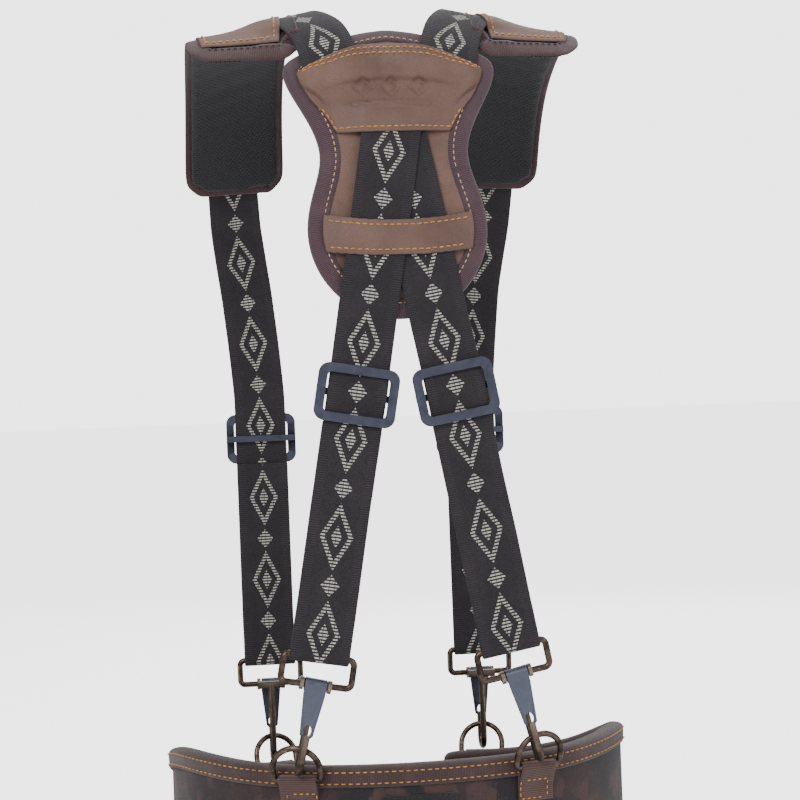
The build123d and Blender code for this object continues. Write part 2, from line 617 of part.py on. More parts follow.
def yoke_layer(lifts, inset):
    """A layer of the yoke that follows the back between two lifts."""
    heights = between(body_fraction(YOKE_BOTTOM - 15), body_fraction(YOKE_TOP + 8), 24)
    near, far = ([body_plane(t, 0, lift).origin for t in heights] for lift in lifts)
    with BuildPart() as layer:
        with BuildSketch(Plane.YZ.offset(-REACH / 2)):
            with BuildLine():
                inner = Spline(*[(point.Y, point.Z) for point in near])
                outer = Spline(*[(point.Y, point.Z) for point in far])
                Line(inner @ 0, outer @ 0)
                Line(inner @ 1, outer @ 1)
            make_face()
        extrude(amount=REACH)
        extrude(yoke_outline(inset), amount=REACH, mode=Mode.INTERSECT)
    return layer


def keep_between(layer, low, high, name):
    """Save the stretch of a yoke layer between two edges drawn across it."""
    with BuildPart() as piece:
        add(layer.part)
        with BuildSketch(Plane.XZ):
            with BuildLine():
                lower = Line(*low) if len(low) == 2 else ThreePointArc(*low)
                upper = Line(*high) if len(high) == 2 else ThreePointArc(*high)
                Line(lower @ 0, upper @ 0)
                Line(lower @ 1, upper @ 1)
            make_face()
        extrude(amount=REACH, mode=Mode.INTERSECT)
    save(piece, name)


yoke_edge = BINDING_THICKNESS + 0.2
save(yoke_layer(YOKE_LINING, yoke_edge), "yoke_lining")
save(yoke_layer(YOKE_FOAM, yoke_edge), "yoke_foam")
save(yoke_layer(YOKE_BASE, yoke_edge), "yoke_base_leather")
overlay = yoke_layer(YOKE_OVERLAY, OVERLAY_INSET)
keep_between(overlay, ((-90, PANEL_BOTTOM), (90, PANEL_BOTTOM)), ((-90, 588), (0, 618), (90, 588)),
             "yoke_upper_panel")
keep_between(overlay, ((-90, 489), (0, 478), (90, 489)), ((-90, 518), (0, 501), (90, 518)),
             "yoke_lower_band")
rim = (YOKE_LINING[0] - BINDING_THICKNESS, YOKE_BASE[1])
with BuildPart() as yoke_binding:
    add(yoke_layer(rim, 0).part)
    add(yoke_layer((-0.2, rim[1] + 1), yoke_edge - 0.2).part, mode=Mode.SUBTRACT)
    add(yoke_layer((rim[0] - 1, rim[1] + 1), BINDING_WIDTH).part, mode=Mode.SUBTRACT)
save(yoke_binding, "yoke_binding")
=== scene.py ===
"""Looks of the work suspenders and their lumbar support belt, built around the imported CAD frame.

Distances are metres. Soft pieces are measured off the CAD nodes with rays, so they lie where the CAD lies.
Strips of webbing and tape carry their own two coordinates, across and along, which the weaves follow.
"""

import json
import math

import bmesh
import bpy
from mathutils import Matrix, Vector
from mathutils.bvhtree import BVHTree
from mathutils.kdtree import KDTree
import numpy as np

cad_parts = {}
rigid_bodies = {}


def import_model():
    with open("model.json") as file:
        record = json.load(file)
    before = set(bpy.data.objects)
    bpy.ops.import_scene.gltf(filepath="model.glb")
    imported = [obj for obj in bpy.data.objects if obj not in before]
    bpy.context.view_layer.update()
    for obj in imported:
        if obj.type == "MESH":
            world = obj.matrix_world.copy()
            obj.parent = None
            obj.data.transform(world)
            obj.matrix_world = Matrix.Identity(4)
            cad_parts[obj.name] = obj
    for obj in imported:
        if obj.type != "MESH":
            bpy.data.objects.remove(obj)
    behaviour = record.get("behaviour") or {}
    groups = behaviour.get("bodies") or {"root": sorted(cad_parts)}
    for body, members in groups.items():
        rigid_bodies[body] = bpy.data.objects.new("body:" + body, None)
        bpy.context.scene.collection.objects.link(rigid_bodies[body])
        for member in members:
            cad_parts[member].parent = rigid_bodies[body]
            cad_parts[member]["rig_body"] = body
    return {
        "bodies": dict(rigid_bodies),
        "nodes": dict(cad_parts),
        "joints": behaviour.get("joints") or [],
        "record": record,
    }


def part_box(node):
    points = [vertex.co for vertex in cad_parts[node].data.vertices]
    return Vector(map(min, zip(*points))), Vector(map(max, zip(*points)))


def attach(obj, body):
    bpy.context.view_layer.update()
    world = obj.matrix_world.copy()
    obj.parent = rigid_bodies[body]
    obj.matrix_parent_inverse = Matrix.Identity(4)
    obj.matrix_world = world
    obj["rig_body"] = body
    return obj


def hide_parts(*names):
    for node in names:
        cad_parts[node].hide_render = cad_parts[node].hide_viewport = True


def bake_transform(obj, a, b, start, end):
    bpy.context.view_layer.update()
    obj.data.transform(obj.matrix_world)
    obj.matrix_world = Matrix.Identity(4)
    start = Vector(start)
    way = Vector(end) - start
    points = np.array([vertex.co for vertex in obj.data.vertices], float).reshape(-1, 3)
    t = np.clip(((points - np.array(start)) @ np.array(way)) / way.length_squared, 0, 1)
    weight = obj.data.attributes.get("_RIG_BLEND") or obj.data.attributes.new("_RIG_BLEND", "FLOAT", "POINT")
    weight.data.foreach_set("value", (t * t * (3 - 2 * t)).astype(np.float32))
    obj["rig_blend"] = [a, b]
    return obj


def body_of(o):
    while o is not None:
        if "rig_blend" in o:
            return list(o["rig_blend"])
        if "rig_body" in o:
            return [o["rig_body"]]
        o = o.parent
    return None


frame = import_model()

MM = 0.001
nodes = frame["nodes"]
joints = {joint["name"]: joint for joint in frame["joints"]}
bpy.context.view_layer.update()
SIDES = {"left": -1, "right": 1}
CLIPS = [(end, name, f"{end}_{name}") for end in ("back", "front") for name in SIDES]

WEBBING_WIDTH, WEBBING_THICKNESS = 38 * MM, 1.8 * MM
WAIST_WIDTH, WAIST_THICKNESS = 50 * MM, 2.2 * MM
SHOULDER_AXIS = Vector((0, -0.005, 0.50))
WAIST_RADIUS, SHOULDER_RADIUS = 0.14, 0.13

# ---------------------------------------------------------------- materials


class Nodes:
    """A short way to write a material's node tree."""

    def __init__(self, name):
        self.material = bpy.data.materials.new(name)
        self.material.use_nodes = True
        self.tree = self.material.node_tree
        self.surface = self.tree.nodes["Principled BSDF"]

    def node(self, kind, inputs=None, **settings):
        made = self.tree.nodes.new(kind)
        for key, value in settings.items():
            setattr(made, key, value)
        for key, value in (inputs or {}).items():
            self.put(value, made.inputs[key])
        return made

    def put(self, value, socket):
        if isinstance(value, bpy.types.NodeSocket):
            self.tree.links.new(value, socket)
        elif isinstance(value, bpy.types.Node):
            self.tree.links.new(value.outputs[0], socket)
        else:
            socket.default_value = value

    def math(self, operation, a, b=0.0):
        return self.node("ShaderNodeMath", {0: a, 1: b}, operation=operation).outputs[0]

    def plus(self, a, b):
        return self.math("ADD", a, b)

    def minus(self, a, b):
        return self.math("SUBTRACT", a, b)

    def times(self, a, b):
        return self.math("MULTIPLY", a, b)

    def size(self, value):
        return self.math("ABSOLUTE", value)

    def mix(self, factor, a, b):
        made = self.node("ShaderNodeMix", data_type="RGBA")
        self.put(factor, made.inputs[0])
        self.put(a, made.inputs[6])
        self.put(b, made.inputs[7])
        return made.outputs[2]

    def ramp(self, value, low, high, to_low=0.0, to_high=1.0):
        made = self.node("ShaderNodeMapRange", {0: value, 1: low, 2: high, 3: to_low, 4: to_high})
        return made.outputs[0]

    def noise(self, scale, detail=4.0, vector=None, roughness=0.55):
        vector = vector or self.node("ShaderNodeTexCoord").outputs["Object"]
        inputs = {"Vector": vector, "Scale": scale, "Detail": detail, "Roughness": roughness}
        return self.node("ShaderNodeTexNoise", inputs).outputs[0]

    def cloth(self):
        """Across and along positions in millimetres, from the piece's own strip coordinates."""
        uv = self.node("ShaderNodeUVMap", uv_map="cloth").outputs[0]
        parts = self.node("ShaderNodeSeparateXYZ", {0: uv})
        return self.times(parts.outputs[0], 1 / MM), self.times(parts.outputs[1], 1 / MM)

    def wave(self, value, pitch):
        """A rounded ridge from 0 to 1 that repeats every pitch."""
        return self.size(self.math("SINE", self.times(value, math.pi / pitch)))

    def finish(self, color, roughness, height=None, strength=0.4, distance=0.3, metallic=0.0, sheen=0.0):
        self.put(color, self.surface.inputs["Base Color"])
        self.put(roughness, self.surface.inputs["Roughness"])
        self.surface.inputs["Metallic"].default_value = metallic
        self.surface.inputs["Sheen Weight"].default_value = sheen
        if height is not None:
            relief = {"Height": height, "Strength": strength, "Distance": distance * MM}
            self.put(self.node("ShaderNodeBump", relief), self.surface.inputs["Normal"])
        return self.material


def rgb(red, green, blue):
    """A display colour out of 255 as linear light."""
    return tuple((value / 255 / 12.92 if value < 10 else ((value / 255 + 0.055) / 1.055) ** 2.4)
                 for value in (red, green, blue)) + (1.0,)


def jacquard_webbing():
    """Charcoal webbing with ribbed margins and a woven cream row of lozenges made of short dashes."""
    repeat, half_wide, half_tall = 62.0, 10.5, 21.0
    n = Nodes("jacquard_webbing")
    across, along = n.cloth()
    side = n.size(across)
    ribs = n.wave(along, 1.5)
    twill = n.wave(n.plus(across, n.times(along, 0.55)), 0.9)
    body = n.times(twill, n.ramp(n.wave(along, 0.8), 0.0, 1.0, 0.65, 1.0))
    weave = n.node("ShaderNodeMix", data_type="FLOAT")
    n.put(n.ramp(side, 12.6, 13.4), weave.inputs[0])
    n.put(body, weave.inputs[2])
    n.put(ribs, weave.inputs[3])
    height = weave.outputs[0]
    # in each repeat a lozenge with an outline and a core, and halfway to the next one a small full lozenge
    place = n.minus(n.math("MODULO", n.plus(along, 10 * repeat), repeat), repeat / 2)
    lozenge = n.plus(n.times(side, 1 / half_wide), n.times(n.size(place), 1 / half_tall))
    outline = n.math("LESS_THAN", n.size(n.minus(lozenge, 0.88)), 0.15)
    core = n.math("LESS_THAN", lozenge, 0.34)
    gap = n.size(n.minus(n.size(place), repeat / 2))
    between = n.math("LESS_THAN", n.plus(n.times(side, 1 / 6.0), n.times(gap, 1 / 7.0)), 1.0)
    shape = n.math("MINIMUM", n.plus(n.plus(outline, core), between), 1.0)
    dashes = n.math("GREATER_THAN", n.wave(along, 2.1), 0.70)
    column = n.math("GREATER_THAN", n.wave(n.plus(across, 0.4), 3.4), 0.16)
    thread = n.times(n.times(shape, dashes), n.times(column, n.math("LESS_THAN", side, 12.0)))
    fuzz = n.noise(900.0, 3.0)
    dust = n.noise(45.0, 5.0)
    # painted shade: the ground colour follows the weave's relief, near black in its hollows and lighter on its
    # raised ribs
    dark = n.mix(n.ramp(height, 0.1, 0.9), rgb(13, 10, 13), rgb(46, 39, 46))
    dark = n.mix(n.ramp(dust, 0.45, 0.75, 0.0, 0.14), dark, rgb(84, 72, 78))
    cream = n.mix(n.ramp(fuzz, 0.3, 0.7), rgb(176, 170, 162), rgb(226, 222, 212))
    color = n.mix(thread, dark, cream)
    height = n.plus(n.plus(height, n.times(thread, 0.6)), n.times(fuzz, 0.25))
    return n.finish(color, n.ramp(fuzz, 0.3, 0.7, 0.66, 0.88), height, 0.75, 0.35, sheen=0.1)


def ribbed_tape(name, dark, light, pitch=1.15):
    """Grosgrain: ribs across the tape, with painted shade in the hollows between them and painted highlight on
    their crests, and a little worn colour in scattered patches.
    """
    n = Nodes(name)
    across, along = n.cloth()
    ribs = n.wave(along, pitch)
    threads = n.wave(across, 0.55)
    worn = n.noise(60.0, 5.0)
    fuzz = n.noise(1200.0, 2.0)
    height = n.plus(n.plus(ribs, n.times(threads, 0.25)), n.times(fuzz, 0.2))
    # painted shade and highlight: the colour follows the ribs' relief, dark in the hollows and light on the
    # crests
    color = n.mix(n.ramp(ribs, 0.15, 0.95), dark, light)
    color = n.mix(n.ramp(worn, 0.5, 0.8, 0.0, 0.3), color, rgb(118, 88, 92))
    return n.finish(color, n.ramp(fuzz, 0.3, 0.7, 0.68, 0.9), height, 0.7, 0.3, sheen=0.3)


def twill_webbing(name, dark, light):
    """Plain nylon webbing with a herringbone face."""
    n = Nodes(name)
    across, along = n.cloth()
    fold = n.size(n.minus(n.math("MODULO", n.plus(across, 120.0), 8.0), 4.0))
    twill = n.wave(n.plus(fold, along), 1.6)
    fine = n.wave(along, 0.7)
    fuzz = n.noise(800.0, 3.0)
    dust = n.noise(30.0, 5.0)
    height = n.plus(n.times(twill, n.ramp(fine, 0, 1, 0.7, 1.0)), n.times(fuzz, 0.2))
    # painted shade: the colour follows the herringbone relief, near black in its hollows and lighter on the
    # raised twill
    color = n.mix(n.ramp(height, 0.1, 1.0), dark, light)
    color = n.mix(n.ramp(dust, 0.5, 0.8, 0.0, 0.2), color, rgb(88, 84, 84))
    return n.finish(color, n.ramp(fuzz, 0.3, 0.7, 0.6, 0.82), height, 0.7, 0.35, sheen=0.2)


def oiled_leather():
    """Taupe pull-up leather: fine grain, soft blotches, darker handled patches and pale scuffs."""
    n = Nodes("oiled_leather")
    coordinates = n.node("ShaderNodeTexCoord").outputs["Object"]
    warp = n.noise(18.0, 3.0)
    grain = n.node("ShaderNodeTexVoronoi", {"Vector": coordinates, "Scale": 720.0, "Randomness": 1.0},
                   feature="DISTANCE_TO_EDGE").outputs[0]
    cells = n.ramp(grain, 0.0, 0.12)
    blotch = n.noise(22.0, 6.0, roughness=0.6)
    mottle = n.noise(90.0, 5.0)
    pores = n.noise(1500.0, 2.0)
    color = n.mix(n.ramp(blotch, 0.3, 0.72), rgb(92, 68, 60), rgb(130, 100, 88))
    color = n.mix(n.ramp(mottle, 0.35, 0.7, 0.0, 0.45), color, rgb(122, 92, 80))
    color = n.mix(n.ramp(cells, 0.0, 1.0, 0.35, 0.0), color, rgb(78, 56, 50))
    scuff = n.times(n.ramp(n.noise(140.0, 6.0, roughness=0.75), 0.62, 0.74), n.ramp(warp, 0.4, 0.6))
    color = n.mix(n.times(scuff, 0.35), color, rgb(176, 150, 134))
    height = n.plus(n.times(cells, 0.6), n.times(pores, 0.35))
    height = n.plus(height, n.times(mottle, 1.2))
    return n.finish(color, n.ramp(blotch, 0.3, 0.7, 0.48, 0.66), height, 0.35, 0.25)


def printed_cloth():
    """The belt's dark cloth with a soft camouflage-like print and a fine canvas weave."""
    n = Nodes("printed_cloth")
    across, along = n.cloth()
    weave = n.times(n.wave(across, 0.9), n.wave(along, 0.9))
    coarse = n.noise(16.0, 2.0)
    patch = n.noise(42.0, 3.0)
    veil = n.noise(120.0, 5.0)
    color = n.mix(n.ramp(coarse, 0.42, 0.52), rgb(30, 20, 28), rgb(58, 38, 40))
    color = n.mix(n.ramp(patch, 0.52, 0.58, 0.0, 0.8), color, rgb(84, 58, 54))
    color = n.mix(n.ramp(veil, 0.35, 0.75, 0.0, 0.4), color, rgb(24, 20, 34))
    # painted shade: darker between the canvas threads, where the weave dips
    color = n.mix(n.ramp(weave, 0.0, 0.5, 0.35, 0.0), color, rgb(12, 8, 12))
    fuzz = n.noise(1400.0, 2.0)
    height = n.plus(weave, n.times(fuzz, 0.3))
    return n.finish(color, n.ramp(fuzz, 0.3, 0.7, 0.62, 0.82), height, 0.55, 0.3, sheen=0.2)


def spacer_mesh():
    """Black knitted lining with rows of small open cells."""
    n = Nodes("spacer_mesh")
    across, along = n.cloth()
    row = n.math("MODULO", n.math("FLOOR", n.math("DIVIDE", along, 2.2)), 2.0)
    shifted = n.plus(across, n.times(row, 1.5))
    u = n.minus(n.math("MODULO", n.plus(shifted, 1200.0), 3.0), 1.5)
    v = n.minus(n.math("MODULO", n.plus(along, 1100.0), 2.2), 1.1)
    hole = n.math("SQRT", n.plus(n.times(u, u), n.times(n.times(v, v), 1.6)))
    cell = n.ramp(hole, 0.55, 0.95)
    fuzz = n.noise(1000.0, 3.0)
    # painted shade: the open cells are near black, standing for the shade inside them
    color = n.mix(cell, rgb(6, 6, 8), rgb(40, 39, 44))
    color = n.mix(n.ramp(fuzz, 0.5, 0.8, 0.0, 0.25), color, rgb(74, 72, 78))
    height = n.plus(cell, n.times(fuzz, 0.25))
    return n.finish(color, 0.85, height, 0.8, 0.6, sheen=0.15)


def worn_metal(name, base, worn, stain):
    """Finished steel: blotched tint, brushed micro scratches and brighter rubbed places."""
    n = Nodes(name)
    coordinates = n.node("ShaderNodeTexCoord").outputs["Object"]
    stretched = n.node("ShaderNodeMapping", {"Vector": coordinates, "Scale": (900.0, 900.0, 90.0)}).outputs[0]
    brushed = n.noise(1.0, 3.0, vector=stretched)
    blotch = n.noise(160.0, 5.0, roughness=0.65)
    spots = n.noise(620.0, 4.0)
    edge = n.ramp(n.node("ShaderNodeNewGeometry").outputs["Pointiness"], 0.53, 0.62)
    color = n.mix(n.ramp(blotch, 0.4, 0.62), base, stain)
    color = n.mix(n.ramp(spots, 0.62, 0.72, 0.0, 0.6), color, worn)
    color = n.mix(n.times(edge, 0.8), color, worn)
    rough = n.plus(n.ramp(blotch, 0.3, 0.7, 0.24, 0.48), n.times(spots, 0.08))
    height = n.plus(n.times(brushed, 0.5), spots)
    return n.finish(color, rough, height, 0.16, 0.12, metallic=1.0)


def moulded_plastic():
    """Black acetal with a fine spark-eroded grain and rubbed edges."""
    n = Nodes("moulded_plastic")
    grain = n.noise(1700.0, 3.0)
    rub = n.noise(70.0, 6.0, roughness=0.7)
    edge = n.ramp(n.node("ShaderNodeNewGeometry").outputs["Pointiness"], 0.52, 0.6)
    color = n.mix(n.ramp(rub, 0.4, 0.75), rgb(18, 18, 19), rgb(34, 34, 36))
    color = n.mix(n.times(edge, 0.5), color, rgb(70, 70, 72))
    return n.finish(color, n.ramp(rub, 0.3, 0.7, 0.36, 0.55), grain, 0.25, 0.15)


def sewing_thread(name, color, shade):
    """Twisted polyester thread."""
    n = Nodes(name)
    twist = n.wave(n.times(n.noise(900.0, 1.0), 6.0), 1.0)
    tone = n.mix(n.ramp(n.noise(260.0, 3.0), 0.35, 0.7), color, shade)
    return n.finish(tone, 0.55, twist, 0.3, 0.1, sheen=0.3)


JACQUARD = jacquard_webbing()
LEATHER = oiled_leather()
PRINTED = printed_cloth()
MESH_LINING = spacer_mesh()
YOKE_TAPE = ribbed_tape("yoke_tape", rgb(46, 30, 38), rgb(92, 66, 76))
PAD_TAPE = ribbed_tape("pad_tape", rgb(42, 24, 28), rgb(84, 54, 58))
BELT_TAPE = ribbed_tape("belt_tape", rgb(38, 26, 26), rgb(78, 56, 54), pitch=1.0)
TAB_WEBBING = ribbed_tape("tab_webbing", rgb(50, 32, 30), rgb(98, 70, 64), pitch=1.3)
LABEL_CLOTH = ribbed_tape("label_cloth", rgb(10, 10, 12), rgb(30, 30, 33), pitch=0.7)
WAIST_NYLON = twill_webbing("waist_nylon", rgb(10, 10, 11), rgb(38, 37, 40))
GOLD_THREAD = sewing_thread("gold_thread", rgb(232, 164, 62), rgb(190, 120, 44))
CREAM_THREAD = sewing_thread("cream_thread", rgb(226, 196, 150), rgb(184, 150, 112))
DARK_THREAD = sewing_thread("dark_thread", rgb(34, 26, 30), rgb(20, 16, 18))
GLIDE_METAL = worn_metal("glide_metal", rgb(44, 46, 58), rgb(104, 108, 126), rgb(26, 24, 32))
LOOP_METAL = worn_metal("loop_metal", rgb(112, 98, 88), rgb(176, 160, 142), rgb(64, 52, 48))
HOOK_METAL = worn_metal("hook_metal", rgb(104, 90, 80), rgb(170, 154, 138), rgb(60, 50, 46))
PLATE_METAL = worn_metal("plate_metal", rgb(70, 77, 94), rgb(124, 130, 146), rgb(34, 32, 42))
PLASTIC = moulded_plastic()

# ---------------------------------------------------------------- mesh helpers


def steps(start, end, step):
    """Even values from start to end, about step apart."""
    count = max(int(abs(end - start) / step), 1)
    return [start + (end - start) * i / count for i in range(count + 1)]


def new_object(name, mesh, *materials):
    piece = bpy.data.objects.new(name, mesh)
    bpy.context.scene.collection.objects.link(piece)
    for material in materials:
        mesh.materials.append(material)
    mesh.shade_smooth()
    return piece


def mesh_from(name, vertices, faces, uvs, material):
    """A mesh with strip coordinates; uvs holds one (across, along) pair for each vertex."""
    mesh = bpy.data.meshes.new(name)
    mesh.from_pydata([tuple(v) for v in vertices], [], faces)
    layer = mesh.uv_layers.new(name="cloth")
    for loop in mesh.loops:
        layer.data[loop.index].uv = uvs[loop.vertex_index]
    return new_object(name, mesh, material)


def smoothed(points, rounds, closed=False):
    """Points moved towards the middle of their neighbours, ends kept."""
    points = [p.copy() for p in points]
    count = len(points)
    for _ in range(rounds):
        before = [p.copy() for p in points]
        for i in range(count):
            if closed or 0 < i < count - 1:
                points[i] = (before[i - 1] + before[i] * 2 + before[(i + 1) % count]) / 4
    return points


def lengths_along(line):
    """The distance from a line's start to each of its points."""
    lengths = [0.0]
    for a, b in zip(line, line[1:]):
        lengths.append(lengths[-1] + (b - a).length)
    return lengths


def spaced(points, step, closed=False):
    """The same line as points set evenly, about step apart."""
    line = points + [points[0]] if closed else points
    lengths = lengths_along(line)
    count = max(int(round(lengths[-1] / step)), 2)
    made, at = [], 0
    for i in range(count if closed else count + 1):
        target = lengths[-1] * i / count
        while at < len(lengths) - 2 and lengths[at + 1] < target:
            at += 1
        span = max(lengths[at + 1] - lengths[at], 1e-9)
        made.append(line[at].lerp(line[at + 1], min(max((target - lengths[at]) / span, 0), 1)))
    return made


def sweep_profile(name, path, sides, ups, profile, acrosses, material, closed=False, begins=0.0):
    """Sweeps a closed profile of (side, up) points along a path, with strip coordinates."""
    vertices, uvs, faces = [], [], []
    ring, rows = len(profile), len(path)
    for point, side, up, length in zip(path, sides, ups, lengths_along(path)):
        for (a, b), across in zip(profile, acrosses):
            vertices.append(point + side * a + up * b)
            uvs.append((across, begins + length))
    for i in range(rows if closed else rows - 1):
        j = (i + 1) % rows
        for k in range(ring):
            m = (k + 1) % ring
            faces.append((i * ring + k, i * ring + m, j * ring + m, j * ring + k))
    if not closed:
        faces.append(tuple(range(ring)))
        faces.append(tuple(reversed(range((rows - 1) * ring, rows * ring))))
    piece = mesh_from(name, vertices, faces, uvs, material)
    repair = bmesh.new()
    repair.from_mesh(piece.data)
    bmesh.ops.recalc_face_normals(repair, faces=repair.faces)
    repair.to_mesh(piece.data)
    repair.free()
    return piece


def band_profile(width, thickness, columns):
    """A webbing's cross-section with rounded selvedges, and its across coordinate at each point."""
    half, radius = width / 2, thickness / 2
    points = []
    for face in (1, -1):
        for i in range(columns + 1):
            points.append((face * (-half + radius + (width - 2 * radius) * i / columns), face * radius))
        for i in range(1, 4):
            angle = math.pi / 2 - math.pi * i / 4
            points.append((face * (half - radius + radius * math.cos(angle)), face * radius * math.sin(angle)))
    return points, [x for x, _ in points]


def band(name, path, acrosses, width, thickness, material, columns=10, begins=0.0):
    """A strip of webbing along a path; acrosses point along its width."""
    ups, sides = [], []
    for i in range(len(path)):
        along = (path[min(i + 1, len(path) - 1)] - path[max(i - 1, 0)]).normalized()
        up = along.cross(acrosses[i]).normalized()
        ups.append(up)
        sides.append(up.cross(along).normalized())
    profile, across = band_profile(width, thickness, columns)
    return sweep_profile(name, path, sides, ups, profile, across, material, begins=begins)


def stitch_row(name, path, normals, material, stitch=2.6 * MM, gap=1.5 * MM, radius=0.42 * MM, closed=False):
    """A row of sewn stitches lying on a path: each a small thread that dives in at both ends."""
    line = path + [path[0]] if closed else path
    tilt = normals + [normals[0]] if closed else normals
    lengths = lengths_along(line)

    def at(distance):
        distance = min(max(distance, 0), lengths[-1])
        k = next((i for i in range(1, len(lengths)) if lengths[i] >= distance), len(lengths) - 1)
        share = (distance - lengths[k - 1]) / max(lengths[k] - lengths[k - 1], 1e-9)
        return line[k - 1].lerp(line[k], share), tilt[k - 1].lerp(tilt[k], share).normalized()

    vertices, faces = [], []
    count = int(lengths[-1] / (stitch + gap))
    rings, around = 5, 6
    for i in range(count):
        start = i * (stitch + gap) + gap / 2
        base = len(vertices)
        for ring in range(rings):
            share = ring / (rings - 1)
            point, normal = at(start + stitch * share)
            ahead, _ = at(start + stitch * share + 0.2 * MM)
            behind, _ = at(start + stitch * share - 0.2 * MM)
            along = (ahead - behind).normalized()
            side = along.cross(normal).normalized()
            rise = radius * (1.5 * math.sin(math.pi * share) ** 0.5 - 0.75)
            thin = radius * (0.55 + 0.45 * math.sin(math.pi * share))
            for k in range(around):
                angle = 2 * math.pi * k / around
                lift, aside = rise + thin * math.sin(angle), thin * math.cos(angle)
                vertices.append(point + normal * lift + side * aside)
        for ring in range(rings - 1):
            for k in range(around):
                m = (k + 1) % around
                faces.append((base + ring * around + k, base + ring * around + m,
                              base + (ring + 1) * around + m, base + (ring + 1) * around + k))
        faces.append(tuple(base + k for k in reversed(range(around))))
        faces.append(tuple(base + (rings - 1) * around + k for k in range(around)))
    mesh_from(name, vertices, faces, [(0, 0)] * len(vertices), material)


# ---------------------------------------------------------------- measuring the CAD


def tree_of(*pieces):
    """A ray tree over the given mesh objects, at rest."""
    vertices, faces = [], []
    for piece in pieces:
        base = len(vertices)
        vertices += [v.co.copy() for v in piece.data.vertices]
        faces += [[base + i for i in polygon.vertices] for polygon in piece.data.polygons]
    return BVHTree.FromPolygons(vertices, faces)


def finder_of(points):
    """A search tree that gives the number of the point nearest to a place."""
    finder = KDTree(len(points))
    for i, point in enumerate(points):
        finder.insert(point, i)
    finder.balance()
    return finder


def from_behind(tree, x, z):
    """Place and normal of the first surface met from behind the wearer's back."""
    return tree.ray_cast(Vector((x, -1, z)), Vector((0, 1, 0)))[:2]


def from_front(tree, x, z):
    """Place and normal of the first surface met from in front of the wearer."""
    return tree.ray_cast(Vector((x, 1, z)), Vector((0, -1, 0)))[:2]


def above_shoulder(x, turn, height):
    """The place at a height over the shoulder axis; turn is 0 from behind and pi from the front."""
    return Vector((x, SHOULDER_AXIS.y - math.cos(turn) * height, SHOULDER_AXIS.z + math.sin(turn) * height))


def over_shoulder(tree, x, turn):
    """The first surface met from a metre off towards the shoulder axis."""
    axis, start = above_shoulder(x, turn, 0), above_shoulder(x, turn, 1)
    return tree.ray_cast(start, axis - start, 1.0)[:2]


def under_shoulder(tree, x, turn):
    """The first surface met from the shoulder axis outwards."""
    axis, end = above_shoulder(x, turn, 0), above_shoulder(x, turn, 1)
    return tree.ray_cast(axis, end - axis, 1.0)[:2]


def around_waist(tree, turn, z, inside=False):
    """The belt's outer or inner surface; turn is 0 at the middle of the back and grows towards the right."""
    outward = Vector((math.sin(turn), -math.cos(turn), 0))
    if inside:
        return tree.ray_cast(Vector((0, 0, z)), outward)[:2]
    return tree.ray_cast(Vector((0, 0, z)) + outward, -outward, 1.0)[:2]


def strip_section(shoot, side):
    """Middle and direction across of a strip, from all the places where shoot meets it."""
    low, high, step, fewest = -70 * MM, 135 * MM, 0.7 * MM, 8
    hits = []
    for i in range(int((high - low) / step)):
        point = shoot(side * (low + step * i))[0]
        if point is not None:
            hits.append(point)
    if len(hits) < fewest:
        return None
    hits.sort(key=lambda p: p.x)
    return (hits[0] + hits[-1]) / 2, (hits[-1] - hits[0]).normalized()


# ---------------------------------------------------------------- webbing with its folds


def clip_axes(key):
    """Up the strap, across it, out from the body, and the middle of the loop's upper bar."""
    up = Vector(joints["glide_slide_" + key]["axis"]).normalized()
    across = -Vector(joints["clip_swing_" + key]["axis"]).normalized()
    return up, across, across.cross(up).normalized(), Vector(joints["clip_swing_" + key]["pos_m"])


def measured_strap(node, side, end):
    """Middle line and directions across of a strap's outer face, from its top to just above the fold."""
    tree = tree_of(nodes[node])
    low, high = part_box(node)
    if end == "back":
        sections = [strip_section(lambda x: from_behind(tree, x, z), side)
                    for z in steps(high.z - 1.5 * MM, low.z + 1 * MM, 4 * MM)]
    else:
        sections = [strip_section(lambda x: over_shoulder(tree, x, turn), side)
                    for turn in steps(math.radians(41), math.radians(176), math.radians(1.7))]
        sections += [strip_section(lambda x: from_front(tree, x, z), side)
                     for z in steps(SHOULDER_AXIS.z - 4 * MM, low.z + 1 * MM, 4 * MM)]
    sections = [s for s in sections if s]
    return [s[0] for s in sections], [s[1] for s in sections]


FOLD_RADIUS, FOLD_HEIGHT = 3.3 * MM, 20 * MM
RETURN_LENGTH, GATHERED_HEIGHT = 148 * MM, 34 * MM
LAYER_PITCH = 1.95 * MM


def fold_line(up, out, bar):
    """Down to the wire loop's bar, round it, and the return run, gathered against the strap it came from."""
    line = [bar + out * FOLD_RADIUS + up * h for h in steps(FOLD_HEIGHT, 1 * MM, 4 * MM)]
    line += [bar + (out * math.cos(a) - up * math.sin(a)) * FOLD_RADIUS for a in steps(0, math.pi, 0.35)]
    for h in steps(2 * MM, RETURN_LENGTH, 4 * MM):
        gather = min(h / GATHERED_HEIGHT, 1)
        gather = gather * gather * (3 - 2 * gather)
        line.append(bar + out * (-FOLD_RADIUS + gather * (2 * FOLD_RADIUS - LAYER_PITCH)) + up * h)
    return line


